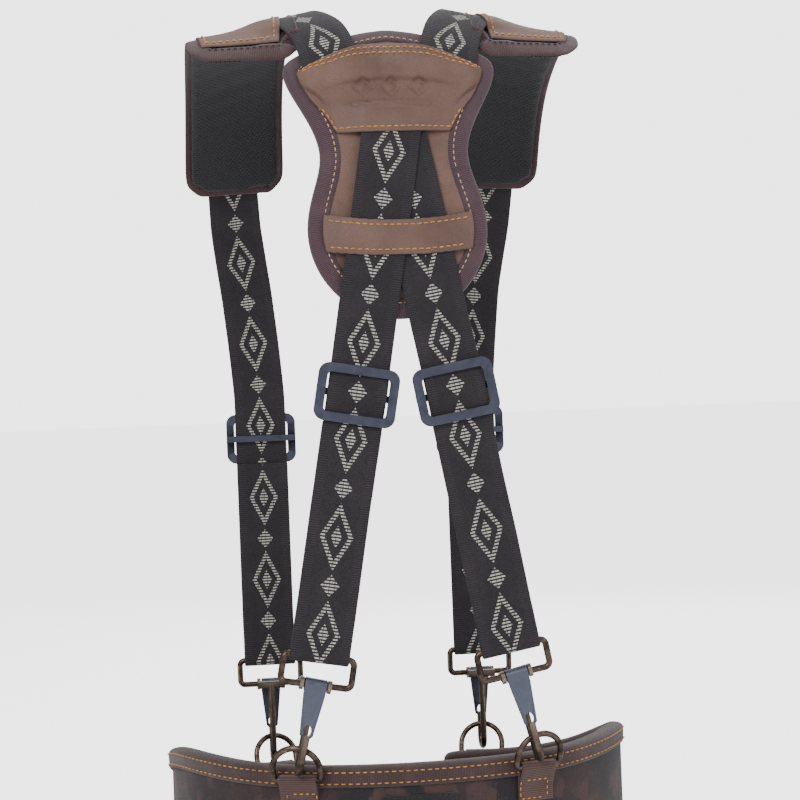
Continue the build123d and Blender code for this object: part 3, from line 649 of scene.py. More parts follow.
def folded_webbing(end, name, key):
    """One strap with its fold; also gives the strap's own middle line and directions across."""
    node = f"back_strap_{name}" if end == "back" else f"shoulder_strap_{name}"
    up, across, out, bar = clip_axes(key)
    line, directions = measured_strap(node, SIDES[name], end)
    if end == "back":
        line = [p - out * (WEBBING_THICKNESS / 2) for p in line]
    line = smoothed(line, 6)
    directions = [d.normalized() for d in smoothed(directions, 6)]
    if directions[-1].dot(across) < 0:
        directions = [-d for d in directions]
    fold = fold_line(up, out, bar)
    webbing = band(f"webbing_{key}", line + fold, directions + [across] * len(fold), WEBBING_WIDTH,
                   WEBBING_THICKNESS, JACQUARD)
    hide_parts(node, f"strap_end_{key}")
    low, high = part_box(f"tri_glide_{key}")
    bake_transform(webbing, "harness", f"strap_end_{key}", start=bar + up * ((low.z + high.z) / 2 - bar.z),
             end=bar + up * (FOLD_HEIGHT + 2 * MM))
    return webbing, (line, directions)


webbings, strap_lines = {}, {}
for end, name, key in CLIPS:
    webbings[key], strap_lines[key] = folded_webbing(end, name, key)

# ---------------------------------------------------------------- padded goods


def joined_copy(name, sources):
    """One new mesh object holding copies of CAD solids."""
    made = bmesh.new()
    for source in sources:
        made.from_mesh(nodes[source].data)
    mesh = bpy.data.meshes.new(name)
    made.to_mesh(mesh)
    made.free()
    return new_object(name, mesh)


def baked(piece):
    """Replaces a piece's mesh by the result of its modifiers."""
    graph = bpy.context.evaluated_depsgraph_get()
    mesh = bpy.data.meshes.new_from_object(piece.evaluated_get(graph), depsgraph=graph)
    piece.modifiers.clear()
    piece.data = mesh


CHANNEL_REACH, CLOTH_FRAMES = 4.5 * MM, 20


def puffed(name, sources, rim, reach, voxel, pressure, cap, channels=()):
    """A cushion blown up as cloth from CAD solids, held under its edge tape and along its sewn channels."""
    seams, rim_points = list(rim) + list(channels), len(rim)
    piece = joined_copy(name, sources)
    remesh = piece.modifiers.new("remesh", "REMESH")
    remesh.mode = "VOXEL"
    remesh.voxel_size = voxel
    baked(piece)
    mesh = piece.data
    for vertex, normal in [(v, v.normal.copy()) for v in mesh.vertices]:
        vertex.co -= normal * (0.6 * MM)
    rest = [v.co.copy() for v in mesh.vertices]
    finder = finder_of(seams)
    held = piece.vertex_groups.new(name="sewn")
    for vertex in mesh.vertices:
        _, nearest, distance = finder.find(vertex.co)
        if distance < (reach if nearest < rim_points else CHANNEL_REACH):
            held.add([vertex.index], 1.0, "REPLACE")
    cloth = piece.modifiers.new("cloth", "CLOTH")
    cloth.settings.vertex_group_mass = "sewn"
    cloth.settings.use_pressure = True
    cloth.settings.uniform_pressure_force = pressure
    cloth.settings.effector_weights.gravity = 0
    cloth.settings.quality = 4
    cloth.settings.tension_stiffness = 30
    cloth.settings.bending_stiffness = 0.6
    cloth.point_cache.frame_start, cloth.point_cache.frame_end = 1, CLOTH_FRAMES
    for step in range(1, CLOTH_FRAMES + 1):
        bpy.context.scene.frame_set(step)
    baked(piece)
    bpy.context.scene.frame_set(1)
    for vertex, start in zip(piece.data.vertices, rest):
        moved = vertex.co - start
        limit = cap(start) if callable(cap) else cap
        if moved.length > limit:
            vertex.co = start + moved.normalized() * limit
    piece.vertex_groups.clear()
    smooth = piece.modifiers.new("smooth", "SMOOTH")
    smooth.factor, smooth.iterations = 0.5, 3
    detail = piece.modifiers.new("detail", "SUBSURF")
    detail.levels = detail.render_levels = 1
    baked(piece)
    piece.data.shade_smooth()
    return piece


SEAM_JUMP = 0.2  # no face is this long, so its coordinates cross the seam where the strip begins again


def painted(piece, outside, inside, is_outside, coordinates):
    """Two materials by which way each face looks, and strip coordinates from a rule."""
    mesh = piece.data
    mesh.materials.clear()
    mesh.materials.append(outside)
    mesh.materials.append(inside)
    layer = mesh.uv_layers.get("cloth") or mesh.uv_layers.new(name="cloth")
    pairs = [coordinates(v.co) for v in mesh.vertices]
    for loop in mesh.loops:
        layer.data[loop.index].uv = pairs[loop.vertex_index]
    for polygon in mesh.polygons:
        polygon.material_index = 0 if is_outside(polygon.center, polygon.normal) else 1
        turns = [pairs[i] for i in polygon.vertices]
        if max(t[1] for t in turns) - min(t[1] for t in turns) > SEAM_JUMP:
            for index in polygon.loop_indices:
                layer.data[index].uv = turns[0]


def outline(hit, middle, scale, count, inset=0.005):
    """The rim of a surface in its own two coordinates, found by searching outwards from the middle."""
    def place(angle, reach):
        return (middle[0] + reach * scale[0] * math.cos(angle), middle[1] + reach * scale[1] * math.sin(angle))

    rim = []
    for i in range(count):
        angle = 2 * math.pi * i / count
        low, high = 0.0, 1.8
        for _ in range(13):
            reach = (low + high) / 2
            low, high = (reach, high) if hit(*place(angle, reach))[0] is not None else (low, reach)
        rim.append(place(angle, low * (1 - inset)))
    return rim


def rim_frame(rim, outer, inner, step, tree):
    """Middle points, outward normals, inward sides and half depth all the way round a bound edge."""
    middles, normals, depths = [], [], []
    for place in rim:
        (front, normal), (back, _) = outer(*place), inner(*place)
        if front is None or back is None:
            continue
        middles.append((front + back) / 2)
        normals.append(normal)
        depths.append((front - back).length / 2)
    depths.sort()
    depth = depths[len(depths) // 2]
    path = spaced(smoothed(middles, 3, True), step, True)
    finder = finder_of(middles)
    ups = [normals[finder.find(p)[1]] for p in path]
    ups = [n.normalized() for n in smoothed(ups, 4, True)]
    path = smoothed(path, 2, True)
    sides = []
    for i, point in enumerate(path):
        along = path[(i + 1) % len(path)] - path[i - 1]
        sides.append(along.cross(ups[i]).normalized())
    inward = sum(tree.find_nearest(p + s * 9 * MM)[3] < tree.find_nearest(p - s * 9 * MM)[3]
                 for p, s in zip(path, sides))
    if inward < len(path) / 2:
        sides = [-s for s in sides]
    ups = [(u - s * u.dot(s)).normalized() for u, s in zip(ups, sides)]
    return path, ups, sides, depth


def bound_edge(name, frame_of, width, material, lip=1.0 * MM):
    """A folded tape round a pad's edge: a flat face, a rounded nose and a flat back."""
    path, ups, sides, depth = frame_of
    top = depth + 0.35 * MM
    nose = 3 * MM
    profile, across = [], []
    for a in steps(width, nose, 1.6 * MM):
        sag = 0.9 * MM if a > width - 0.4 * MM else 0.12 * MM * math.sin(a * 900)
        profile.append((a, top - sag))
        across.append(a)
    for i in range(1, 10):
        angle = math.pi / 2 + math.pi * i / 10
        profile.append((nose + (nose + lip) * math.cos(angle), top * math.sin(angle)))
        across.append(nose - nose * i / 5)
    for a in steps(nose, width, 1.6 * MM):
        sag = 0.9 * MM if a > width - 0.4 * MM else 0.0
        profile.append((a, -top + sag))
        across.append(-a)
    return sweep_profile(name, path, sides, ups, profile, across, material, closed=True)


def edge_stitches(name, frame_of, inset, material, face=1, **looks):
    """A stitch row on a bound edge, at a distance in from its rim."""
    path, ups, sides, depth = frame_of
    line = [p + s * inset + u * face * (depth + 0.4 * MM) for p, s, u in zip(path, sides, ups)]
    line = smoothed(line, 2, True)
    return stitch_row(name, line, [u * face for u in ups], material, closed=True, **looks)


def sheet_faces(rows, columns):
    """Faces of a closed sheet whose points are given layer by layer, then row by row."""
    faces = []
    width, total = columns + 1, (columns + 1) * (rows + 1)
    for j in range(rows):
        for i in range(columns):
            a = j * width + i
            faces.append((a, a + 1, a + width + 1, a + width))
            faces.append((total + a, total + a + width, total + a + width + 1, total + a + 1))
    for i in range(columns):
        for j in (0, rows):
            a = j * width + i
            quad = (a, total + a, total + a + 1, a + 1)
            faces.append(quad if j == 0 else quad[::-1])
    for j in range(rows):
        for i in (0, columns):
            a = j * width + i
            quad = (a, a + width, total + a + width, total + a)
            faces.append(quad if i == 0 else quad[::-1])
    return faces


def grid_normal(grid, j, i):
    """The outward direction of a grid of points at one of them."""
    across = grid[j][min(i + 1, len(grid[0]) - 1)] - grid[j][max(i - 1, 0)]
    upward = grid[min(j + 1, len(grid) - 1)][i] - grid[max(j - 1, 0)][i]
    return across.cross(upward).normalized()


def draped(name, place, hard, point_at, columns, rows, thickness, material, rounds=160, dent=None):
    """A leather sheet sewn down at both sides and pulled taut over whatever lies under it."""
    spots = [[place(-1 + 2 * i / columns, j / rows) for i in range(columns + 1)] for j in range(rows + 1)]
    under = [[hard(*spot) for spot in row] for row in spots]
    sheet = [row[:] for row in under]
    for _ in range(rounds):
        for j in range(rows + 1):
            row, limit = sheet[j], under[j]
            for i in range(1, columns):
                row[i] = max(limit[i], (row[i - 1] + row[i + 1]) / 2)
    for _ in range(2):
        before = [row[:] for row in sheet]
        for j in range(rows + 1):
            for i in range(1, columns):
                up, down = before[min(j + 1, rows)][i], before[max(j - 1, 0)][i]
                sheet[j][i] = (before[j][i - 1] + before[j][i + 1] + up + down) / 4
    grid = [[point_at(*spots[j][i], sheet[j][i] + thickness / 2) for i in range(columns + 1)]
            for j in range(rows + 1)]
    vertices, uvs = [], []
    for layer in (1, -1):
        for j in range(rows + 1):
            for i in range(columns + 1):
                normal = grid_normal(grid, j, i)
                rim = min(j, rows - j, 1.5) / 1.5
                half = thickness / 2 * (0.55 + 0.45 * rim)
                point = grid[j][i] + normal * layer * half
                if dent and layer > 0:
                    point -= normal * dent(point.x, point.z)
                vertices.append(point)
                uvs.append((point.x, point.z))
    return mesh_from(name, vertices, sheet_faces(rows, columns), uvs, material), grid


# ---------------------------------------------------------------- yoke

YOKE_MIDDLE, YOKE_REACH = (0.0, 535 * MM), (60 * MM, 92 * MM)
YOKE_TAPE_WIDTH = 12.5 * MM
yoke_nodes = ("yoke_binding", "yoke_base_leather", "yoke_foam", "yoke_lining")
yoke_tree = tree_of(*(nodes[n] for n in yoke_nodes))
yoke_rim = outline(lambda x, z: from_behind(yoke_tree, x, z), YOKE_MIDDLE, YOKE_REACH, 240)
yoke_frame = rim_frame(yoke_rim, lambda x, z: from_behind(yoke_tree, x, z),
                       lambda x, z: from_front(yoke_tree, x, z), 2 * MM, yoke_tree)
yoke_tape = bound_edge("yoke_edge_tape", yoke_frame, YOKE_TAPE_WIDTH, YOKE_TAPE)
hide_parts("yoke_binding")
edge_stitches("yoke_edge_stitches", yoke_frame, 9.2 * MM, CREAM_THREAD)
edge_stitches("yoke_edge_stitches_inside", yoke_frame, 9.2 * MM, CREAM_THREAD, face=-1)

yoke_pad = puffed("yoke_pad", ("yoke_base_leather", "yoke_foam", "yoke_lining"), yoke_frame[0], 13.4 * MM,
                  voxel=4 * MM, pressure=2.5, cap=3.0 * MM)
painted(yoke_pad, LEATHER, MESH_LINING, lambda center, normal: normal.y < 0.2, lambda co: (co.x, co.z))
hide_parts("yoke_base_leather", "yoke_foam", "yoke_lining")

under_panel = tree_of(yoke_pad, yoke_tape, *webbings.values())


def yoke_half_width(z):
    """Half the yoke's width at a height, to its rim."""
    low, high = 0.0, 90 * MM
    for _ in range(12):
        middle = (low + high) / 2
        low, high = (middle, high) if from_behind(yoke_tree, middle, z)[0] is not None else (low, middle)
    return low


def panel_place(node, inset):
    """Where a sewn-on panel lies: its measured lower and upper edges, out to under the edge tape."""
    tree = tree_of(nodes[node])
    low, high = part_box(node)
    limit = min(high.x, -low.x) - 1 * MM
    edges = {}

    def edge(x):
        key = round(min(abs(x), limit) / MM)
        if key not in edges:
            hits = [z for z in steps(low.z, high.z, 0.5 * MM) if from_behind(tree, key * MM, z)[0] is not None]
            edges[key] = (hits[0], hits[-1]) if hits else edges[max(edges)]
        return edges[key]

    for whole in range(int(limit / MM) + 1):
        edge(whole * MM)

    def blend_edge(x):
        at = min(abs(x), limit) / MM
        a, b = edge(math.floor(at) * MM), edge(min(math.ceil(at), int(limit / MM)) * MM)
        share = at - math.floor(at)
        return a[0] + (b[0] - a[0]) * share, a[1] + (b[1] - a[1]) * share

    widths = {}

    def place(s, t):
        x = s * limit
        for _ in range(3):
            bottom, top = blend_edge(x)
            z = bottom + (top - bottom) * t
            key = round(z, 4)
            if key not in widths:
                widths[key] = yoke_half_width(key)
            x = s * (widths[key] - inset)
        return x, z

    return place


def under_panel_height(x, z):
    """How far back the yoke and the straps on it reach at a place."""
    hit = from_behind(under_panel, x, z)[0]
    return -hit.y if hit is not None else -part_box("yoke_base_leather")[0].y - 30 * MM


def behind(x, z, height):
    return Vector((x, -height, z))


def sheet_row(name, grid, share, material, ends=3, **looks):
    """A stitch row across a draped sheet, at a share of the way through its rows."""
    line, normals = [], []
    rows, columns = len(grid) - 1, len(grid[0]) - 1
    for i in range(columns + 1):
        j = min(int(share * rows), rows - 1)
        line.append(grid[j][i].lerp(grid[j + 1][i], share * rows - j))
        across = grid[j][min(i + 1, columns)] - grid[j][max(i - 1, 0)]
        normals.append(across.cross(grid[j + 1][i] - grid[j][i]).normalized())
    line = [p + n * 0.8 * MM for p, n in zip(line, normals)]
    stitch_row(name, line[ends:-ends], normals[ends:-ends], material, **looks)


def sheet_column(name, grid, share, material, ends=2, **looks):
    """A stitch row up a draped sheet, at a share of its width."""
    i = round(share * (len(grid[0]) - 1))
    normals = [grid_normal(grid, j, i) for j in range(len(grid))]
    line = [row[i] + n * 0.8 * MM for row, n in zip(grid, normals)]
    stitch_row(name, line[ends:-ends], normals[ends:-ends], material, **looks)


def plain_mark(x, z):
    """A plain debossed bar under a row of three lozenges."""
    bar = abs(z - 576 * MM) < 1.3 * MM and abs(x) < 27 * MM
    off_middle = min(abs(x - c) + abs(z - 588 * MM) for c in (-18 * MM, 0, 18 * MM))
    return 0.9 * MM if bar or 3 * MM <= off_middle < 7 * MM else 0.0


SHEET_COLUMNS, LEATHER_THICKNESS = 110, 1.5 * MM
LEATHER_STITCH = {"stitch": 3.2 * MM, "gap": 1.2 * MM, "radius": 0.5 * MM}
for node, rows in (("yoke_upper_panel", 64), ("yoke_lower_band", 30)):
    place = panel_place(node, YOKE_TAPE_WIDTH - 3.5 * MM)
    dent = plain_mark if node == "yoke_upper_panel" else None
    sheet, grid = draped(node.replace("yoke", "sewn"), place, under_panel_height, behind, SHEET_COLUMNS,
                         rows, LEATHER_THICKNESS, LEATHER, dent=dent)
    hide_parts(node)
    tall = (grid[-1][SHEET_COLUMNS // 2] - grid[0][SHEET_COLUMNS // 2]).length
    insets = [3.2 * MM, tall - 3.2 * MM] + ([tall - 7.2 * MM] if node == "yoke_upper_panel" else [])
    for k, inset in enumerate(insets):
        sheet_row(f"{node}_stitches_{k}", grid, inset / tall, GOLD_THREAD, **LEATHER_STITCH)

# ---------------------------------------------------------------- hardware

HUMP_HALF, HUMP_RISE = 15 * MM, 2.4 * MM


def adjuster_hump(key):
    """The webbing where it rises over a slide adjuster's middle bar, in step with the weave under it."""
    up, _, out, _ = clip_axes(key)
    low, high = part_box(f"tri_glide_{key}")
    middle = (low + high) / 2
    points, directions = strap_lines[key]
    nearest = min(range(len(points)), key=lambda i: abs((points[i] - middle).dot(up)))
    run = lengths_along(points)[nearest]
    base = points[nearest] - up * (points[nearest] - middle).dot(up)
    path = []
    for h in steps(HUMP_HALF, -HUMP_HALF, 1 * MM):
        rise = 0.25 * MM + HUMP_RISE * math.cos(math.pi * h / (2 * HUMP_HALF)) ** 1.6
        path.append(base + up * h + out * rise)
    hump = band(f"webbing_over_bar_{key}", path, [directions[nearest]] * len(path), WEBBING_WIDTH,
                WEBBING_THICKNESS, JACQUARD, begins=run - HUMP_HALF)
    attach(hump, f"tri_glide_{key}")


def dress(node, material, bevel=0.0, segments=2):
    """Gives a CAD node its material, and eases its edges."""
    piece = nodes[node]
    piece.data.materials.clear()
    piece.data.materials.append(material)
    if bevel:
        ease = piece.modifiers.new("ease", "BEVEL")
        ease.width = bevel
        ease.segments = segments
        ease.limit_method = "ANGLE"
        ease.angle_limit = math.radians(35)
        ease.harden_normals = True


for _, _, key in CLIPS:
    adjuster_hump(key)
    dress(f"tri_glide_{key}", GLIDE_METAL, 0.55 * MM, 3)
    dress(f"wire_loop_{key}", LOOP_METAL)
    dress(f"snap_hook_{key}", HOOK_METAL, 0.5 * MM, 3)
    dress(f"spring_gate_{key}", PLATE_METAL, 0.3 * MM, 2)
    dress(f"d_ring_{key}", LOOP_METAL)
for node in ("buckle_socket", "buckle_plug", "buckle_arm_upper", "buckle_arm_lower"):
    dress(node, PLASTIC, 0.8 * MM, 3)

# ---------------------------------------------------------------- belt

BELT_FACE, BELT_LIMIT = math.radians(157), math.radians(172)
TAPED_HEIGHT = 6 * MM


def belt_wall(turn, z):
    """The belt's upright outer wall; turn is 0 at the middle of the back and stops short of the front gap."""
    if abs(turn) > BELT_LIMIT:
        return None, None
    here = around_waist(belt_tree, turn, z)
    below = around_waist(belt_tree, turn, TAPED_HEIGHT)
    if here[0] is None or below[0] is None:
        return here
    return Vector((below[0].x, below[0].y, z)), below[1]


def belt_inner_wall(turn, z):
    """The inner wall straight behind the outer one, also at the front ends, which are cut square."""
    face, normal = belt_wall(turn, z)
    return (None, None) if face is None else (face - normal * BELT_DEPTH, -normal)


belt_parts = ("belt_outer_shell", "belt_foam_core", "belt_inner_lining")
belt_tree = tree_of(nodes["belt_binding"], *(nodes[n] for n in belt_parts))
BELT_DEPTH = (around_waist(belt_tree, 0, TAPED_HEIGHT)[0]
              - around_waist(belt_tree, 0, TAPED_HEIGHT, inside=True)[0]).length
belt_rim = outline(belt_wall, (0.0, 70 * MM), (BELT_FACE, 76 * MM), 900, inset=0.0015)
belt_frame = rim_frame(belt_rim, belt_wall, belt_inner_wall, 2.5 * MM, belt_tree)
belt_tape = bound_edge("belt_edge_tape", belt_frame, 13 * MM, BELT_TAPE, lip=0.6 * MM)
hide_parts("belt_binding")
for k, inset in enumerate((3.2 * MM, 10.4 * MM)):
    edge_stitches(f"belt_edge_stitches_{k}", belt_frame, inset, GOLD_THREAD, stitch=3.0 * MM, gap=1.6 * MM)
edge_stitches("belt_edge_stitches_inside", belt_frame, 10.4 * MM, GOLD_THREAD, face=-1, stitch=3.0 * MM,
              gap=1.6 * MM)

STAY_CHANNELS = [(f"{k}_{letter}", x * MM) for k, middle in enumerate((-60, -25, 25, 60))
                 for letter, x in (("a", middle - 9), ("b", middle + 9))]


def up_the_belt(tree, x, low, high):
    """Places and normals up the belt's back, wherever it is met."""
    hits = [from_behind(tree, x, z) for z in steps(low, high, 3 * MM)]
    return [hit for hit in hits if hit[0] is not None]


channels = [point for _, x in STAY_CHANNELS for point, _ in up_the_belt(belt_tree, x, 18 * MM, 132 * MM)]


def under_webbing(co):
    """How far the belt's cushion may rise: hardly at all where the waist webbing runs over it."""
    waist_height, covered = 65 * MM, 28 * MM
    clear = max(abs(co.z - waist_height) - covered, 0)
    return 0.6 * MM + min(clear * 0.35, 4.4 * MM)


belt_pad = puffed("belt_pad", belt_parts, belt_frame[0], 14.6 * MM, voxel=5.5 * MM, pressure=3.0,
                  cap=under_webbing, channels=channels)


def belt_spot(co):
    """Strip coordinates on the belt: up it, and round the waist from the middle of the back."""
    return (co.z, (math.atan2(co.y, co.x) + math.pi / 2) % (2 * math.pi) * WAIST_RADIUS)


def faces_out(center, normal):
    return normal.dot(Vector((center.x, center.y, 0)).normalized()) > -0.2


painted(belt_pad, PRINTED, MESH_LINING, faces_out, belt_spot)
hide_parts(*belt_parts, "belt_stays")
pad_tree = tree_of(belt_pad, belt_tape)
for place, x in STAY_CHANNELS:
    line, normals = zip(*up_the_belt(pad_tree, x, 16 * MM, 134 * MM))
    stitch_row(f"stay_channel_stitches_{place}", smoothed(list(line), 3), list(normals), DARK_THREAD,
               stitch=2.8 * MM, gap=1.2 * MM)


def on_the_belt(turn, z):
    """A place on the belt's outside, and the level direction away from it."""
    hit, normal = around_waist(pad_tree, turn, z)
    normal = Vector((normal.x, normal.y, 0)).normalized()
    if normal.dot(Vector((hit.x, hit.y, 0))) < 0:
        normal = -normal
    return Vector((hit.x, hit.y, z)), normal


def waist_band(name, node):
    """Waist webbing laid along the middle of its CAD node, once round the belt."""
    tree = tree_of(nodes[node])
    low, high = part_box(node)
    z = (low.z + high.z) / 2
    hits = []
    for turn in steps(-math.pi, math.pi, math.radians(1.2)):
        outer, inner = around_waist(tree, turn, z)[0], around_waist(tree, turn, z, inside=True)[0]
        if outer is not None and inner is not None:
            hits.append((turn, (outer + inner) / 2))
    runs, run = [], [hits[0]]
    for a, b in zip(hits, hits[1:]):
        if b[0] - a[0] > math.radians(3):
            runs.append(run)
            run = []
        run.append(b)
    runs.append(run)
    for k, run in enumerate(runs):
        path = spaced([p for _, p in run], 3 * MM)
        piece = band(f"{name}_{k}" if len(runs) > 1 else name, path, [Vector((0, 0, 1))] * len(path),
                     WAIST_WIDTH, WAIST_THICKNESS, WAIST_NYLON, columns=12)
        if k == 0:
            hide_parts(node)


waist_band("waist_strap", "waist_webbing")
waist_band("waist_tail", "waist_webbing_tail")


def tab_path(bar, face, out, length):
    """A webbing tab: up the belt, over the ring's bar and down again over itself."""
    reach = (bar - face).dot(out)
    base = bar - out * reach
    radius = 2.9 * MM
    points = [(0.8 * MM, -length), (0.8 * MM, -0.45 * length)]
    points += [(reach - radius * math.cos(a), radius * math.sin(a)) for a in steps(-0.3, math.pi, 0.3)]
    points += [(2.5 * MM, -0.55 * length), (2.4 * MM, -length)]
    return [base + out * a + Vector((0, 0, b)) for a, b in points]


def ring_tab(key):
    """One ring's webbing tab, sewn down with a box of stitches."""
    bar = Vector(joints["ring_tilt_" + key]["pos_m"])
    face, out = on_the_belt(math.atan2(bar.y, bar.x) + math.pi / 2, bar.z - 12 * MM)
    across = Vector((0, 0, 1)).cross(out)
    path = spaced(tab_path(bar, face, out, 23 * MM), 1 * MM)
    tab = band(f"ring_tab_{key}", smoothed(path, 2), [across] * len(path), 24 * MM, 1.3 * MM, TAB_WEBBING)
    if key == "back_left":
        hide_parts("ring_tabs")
    tab_tree = tree_of(tab)
    reach, low, high = 9.5 * MM, bar.z - 21 * MM, bar.z - 9 * MM
    corners = [(-reach, low), (reach, low), (reach, high), (-reach, high), (-reach, low)]
    for k, (start, stop) in enumerate(zip(corners, corners[1:])):
        line = []
        for share in steps(0, 1, 0.1):
            x, z = (a + (b - a) * share for a, b in zip(start, stop))
            spot = face + across * x
            hit = tab_tree.ray_cast(Vector((spot.x, spot.y, z)) + out * 0.05, -out)[0]
            if hit is not None:
                line.append(hit)
        if len(line) > 3:
            stitch_row(f"ring_tab_stitches_{key}_{k}", line, [out] * len(line), GOLD_THREAD, stitch=2.4 * MM)


for _, _, key in CLIPS:
    ring_tab(key)


def sewn_copy(node, name, material, body):
    """A sewn piece with rounded edges and a woven face, in place of its CAD solid."""
    piece = joined_copy(name, [node])
    mesh = piece.data
    mesh.materials.append(material)
    layer = mesh.uv_layers.new(name="cloth")
    for loop in mesh.loops:
        co = mesh.vertices[loop.vertex_index].co
        layer.data[loop.index].uv = ((math.atan2(co.y, co.x) % math.pi) * 0.13, co.z)
    ease = piece.modifiers.new("ease", "BEVEL")
    ease.width, ease.segments, ease.limit_method = 0.35 * MM, 3, "ANGLE"
    baked(piece)
    piece.data.shade_smooth()
    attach(piece, body)
    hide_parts(node)


sewn_copy("belt_loops", "sewn_belt_loops", TAB_WEBBING, "harness")
sewn_copy("webbing_keeper", "sewn_keeper", LABEL_CLOTH, "webbing_keeper")


def woven_label():
    """The blank label: stiffer than the cushion it lies on, so it levels out across the hollows."""
    low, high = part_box("label_patch")
    across, upward = steps(-high.x, high.x, 1.2 * MM), steps(low.z, high.z, 1.2 * MM)
    front = [[from_behind(pad_tree, x, z)[0] - Vector((0, 1.0 * MM, 0)) for x in across] for z in upward]
    rows, columns = len(front) - 1, len(front[0]) - 1
    outermost = min(p.y for row in front for p in row)
    for row in front:
        for i, point in enumerate(row):
            bow = abs(i - (columns + 1) / 2) ** 2 * 1e-6
            point.y = min(point.y, point.y * 0.4 + outermost * 0.6 + bow)
    points = [p for row in front for p in row]
    vertices = points + [p + Vector((0, 1.6 * MM, 0)) for p in points]
    label = mesh_from("woven_label", vertices, sheet_faces(rows, columns), [(p.x, p.z) for p in vertices],
                      LABEL_CLOTH)
    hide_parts("label_patch")
    seam = front[1][1:columns] + [row[columns - 1] for row in front[2:rows]]
    seam += front[rows - 1][columns - 2:0:-1] + [row[1] for row in front[rows - 2:1:-1]]
    stitch_row("woven_label_stitches", [p - Vector((0, 0.1 * MM, 0)) for p in seam],
               [Vector((0, -1, 0))] * len(seam), DARK_THREAD, closed=True)


woven_label()

# ---------------------------------------------------------------- shoulder pads


def shoulder_pad(name, side):
    """One cushion with its edge tape, and the leather tunnel sewn over the strap."""
    parts = (f"pad_foam_{name}", f"pad_lining_{name}")
    tree = tree_of(nodes[f"pad_binding_{name}"], *(nodes[n] for n in parts))

    def top_face(x, turn):
        return over_shoulder(tree, x, turn)

    def under_face(x, turn):
        return under_shoulder(tree, x, turn)

    middle, reach = (side * 92.5 * MM, math.radians(103)), (38 * MM, math.radians(62))
    frame = rim_frame(outline(top_face, middle, reach, 360), top_face, under_face, 2 * MM, tree)
    tape = bound_edge(f"pad_edge_tape_{name}", frame, 12 * MM, PAD_TAPE)
    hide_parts(f"pad_binding_{name}")
    edge_stitches(f"pad_edge_stitches_{name}", frame, 9.5 * MM, DARK_THREAD)
    edge_stitches(f"pad_edge_stitches_inside_{name}", frame, 9.5 * MM, DARK_THREAD, face=-1)
    cushion = puffed(f"shoulder_cushion_{name}", parts, frame[0], 13 * MM, voxel=4.5 * MM, pressure=3.0,
                     cap=5 * MM)
    painted(cushion, MESH_LINING, MESH_LINING, lambda center, normal: True,
            lambda co: (co.x, math.atan2(co.z - SHOULDER_AXIS.z, -co.y) * SHOULDER_RADIUS))
    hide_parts(*parts)

    leather_tree = tree_of(nodes[f"pad_leather_{name}"])
    low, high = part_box(f"pad_leather_{name}")
    center_x, half_x = (low.x + high.x) / 2, (high.x - low.x) / 2
    turns = [t for t in steps(math.radians(40), math.radians(170), math.radians(0.5))
             if over_shoulder(leather_tree, center_x, t)[0] is not None]
    under = tree_of(cushion, tape, webbings[f"front_{name}"])

    def tunnel_place(s, t):
        tuck = 1 - 0.10 * (abs(t * 2 - 1) ** 6)
        return center_x + s * half_x * tuck, turns[0] + (turns[-1] - turns[0]) * t

    def height_under(x, turn):
        hit = over_shoulder(under, x, turn)[0]
        return (hit - above_shoulder(x, turn, 0)).length if hit is not None else 0.09

    sheet, grid = draped(f"pad_tunnel_{name}", tunnel_place, height_under, above_shoulder, 44, 110,
                         LEATHER_THICKNESS, LEATHER, rounds=90)
    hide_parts(f"pad_leather_{name}")
    for k, share in enumerate((0.06, 0.94)):
        sheet_column(f"pad_tunnel_stitches_{name}_{k}", grid, share, GOLD_THREAD, **LEATHER_STITCH)
    for k, share in enumerate((0.02, 0.98)):
        sheet_row(f"pad_tunnel_end_stitches_{name}_{k}", grid, share, GOLD_THREAD, ends=2, **LEATHER_STITCH)


for name, side in SIDES.items():
    shoulder_pad(name, side)

# ---------------------------------------------------------------- all the rest rides the harness

for piece in list(bpy.context.scene.objects):
    if piece.type == "MESH" and body_of(piece) is None:
        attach(piece, "harness")

# ---------------------------------------------------------------- stage, light and camera

FLOOR_SEEN, WORLD_LIGHT, WORLD_SEEN = 2.6, 0.42, 3.4
bpy.ops.mesh.primitive_plane_add(size=90, location=(0, 0, -0.4 * MM))
floor = bpy.context.object
floor.name = "floor"
pale = Nodes("pale_floor")
floor.data.materials.append(pale.finish(rgb(240, 240, 240), 0.85))
pale.surface.inputs["Emission Color"].default_value = (1, 1, 1, 1)
seen_glow = pale.times(pale.node("ShaderNodeLightPath").outputs["Is Camera Ray"], FLOOR_SEEN)
pale.put(seen_glow, pale.surface.inputs["Emission Strength"])

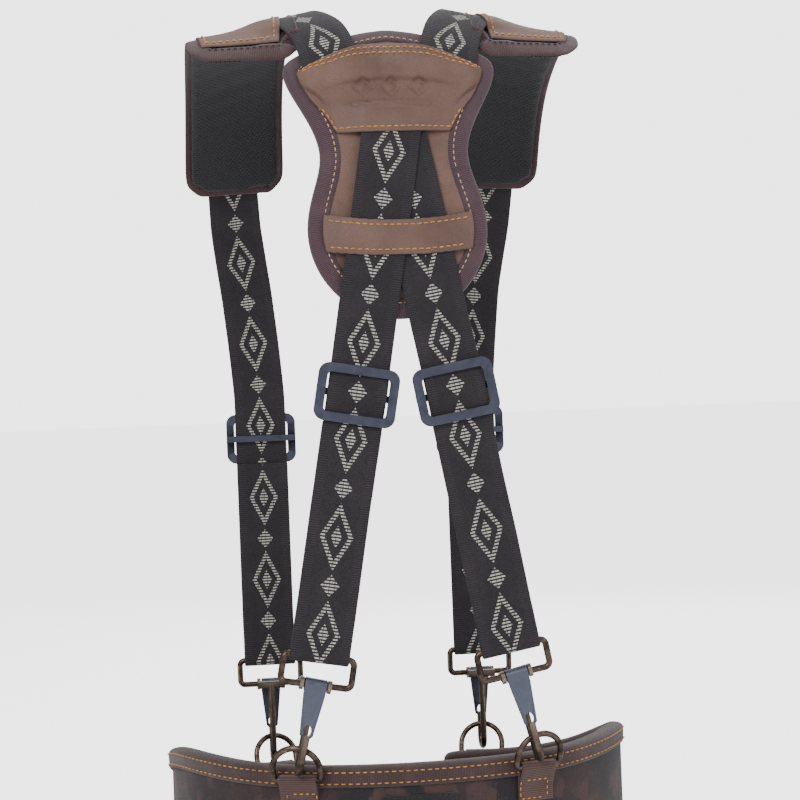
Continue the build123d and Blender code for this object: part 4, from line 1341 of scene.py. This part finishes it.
world = bpy.context.scene.world or bpy.data.worlds.new("world")
bpy.context.scene.world = world
world.use_nodes = True
seen = world.node_tree.nodes.new("ShaderNodeLightPath")
strength = world.node_tree.nodes.new("ShaderNodeMapRange")
strength.inputs[3].default_value, strength.inputs[4].default_value = WORLD_LIGHT, WORLD_SEEN
world.node_tree.links.new(seen.outputs["Is Camera Ray"], strength.inputs[0])
world.node_tree.links.new(strength.outputs[0], world.node_tree.nodes["Background"].inputs[1])
world.node_tree.nodes["Background"].inputs[0].default_value = (1, 1, 1, 1)


def area_light(name, place, aim, size, power):
    light = bpy.data.lights.new(name, "AREA")
    light.size, light.energy = size, power
    lamp = bpy.data.objects.new(name, light)
    bpy.context.scene.collection.objects.link(lamp)
    lamp.location = place
    lamp.rotation_euler = (Vector(aim) - Vector(place)).to_track_quat("-Z", "Y").to_euler()


area_light("key", (-1.2, -1.9, 1.7), (0, 0, 0.4), 1.2, 34)
area_light("fill", (1.6, -1.5, 0.9), (0, 0, 0.4), 1.6, 14)
area_light("top", (0.2, 0.4, 2.2), (0, 0, 0.4), 1.4, 18)
area_light("rear", (0.6, 2.0, 1.2), (0, 0, 0.4), 1.4, 14)

SENSOR_WIDTH = 36
VIEW_DISTANCE, VIEW_WIDTH = 1.25, 0.508
VIEW_TURN, VIEW_ROLL = math.radians(-7), math.radians(2.2)
camera = bpy.data.objects.new("camera", bpy.data.cameras.new("camera"))
bpy.context.scene.collection.objects.link(camera)
aim = Vector((-0.004, -0.125, 0.386))
camera.location = aim + Vector((math.sin(VIEW_TURN), -math.cos(VIEW_TURN), 0)) * VIEW_DISTANCE
look = (aim - camera.location).to_track_quat("-Z", "Y")
camera.rotation_mode = "QUATERNION"
camera.rotation_quaternion = look @ Matrix.Rotation(-VIEW_ROLL, 3, "Z").to_quaternion()
camera.data.sensor_width = SENSOR_WIDTH
camera.data.lens = SENSOR_WIDTH * VIEW_DISTANCE / VIEW_WIDTH
camera.data.clip_start = 0.05
bpy.context.scene.camera = camera
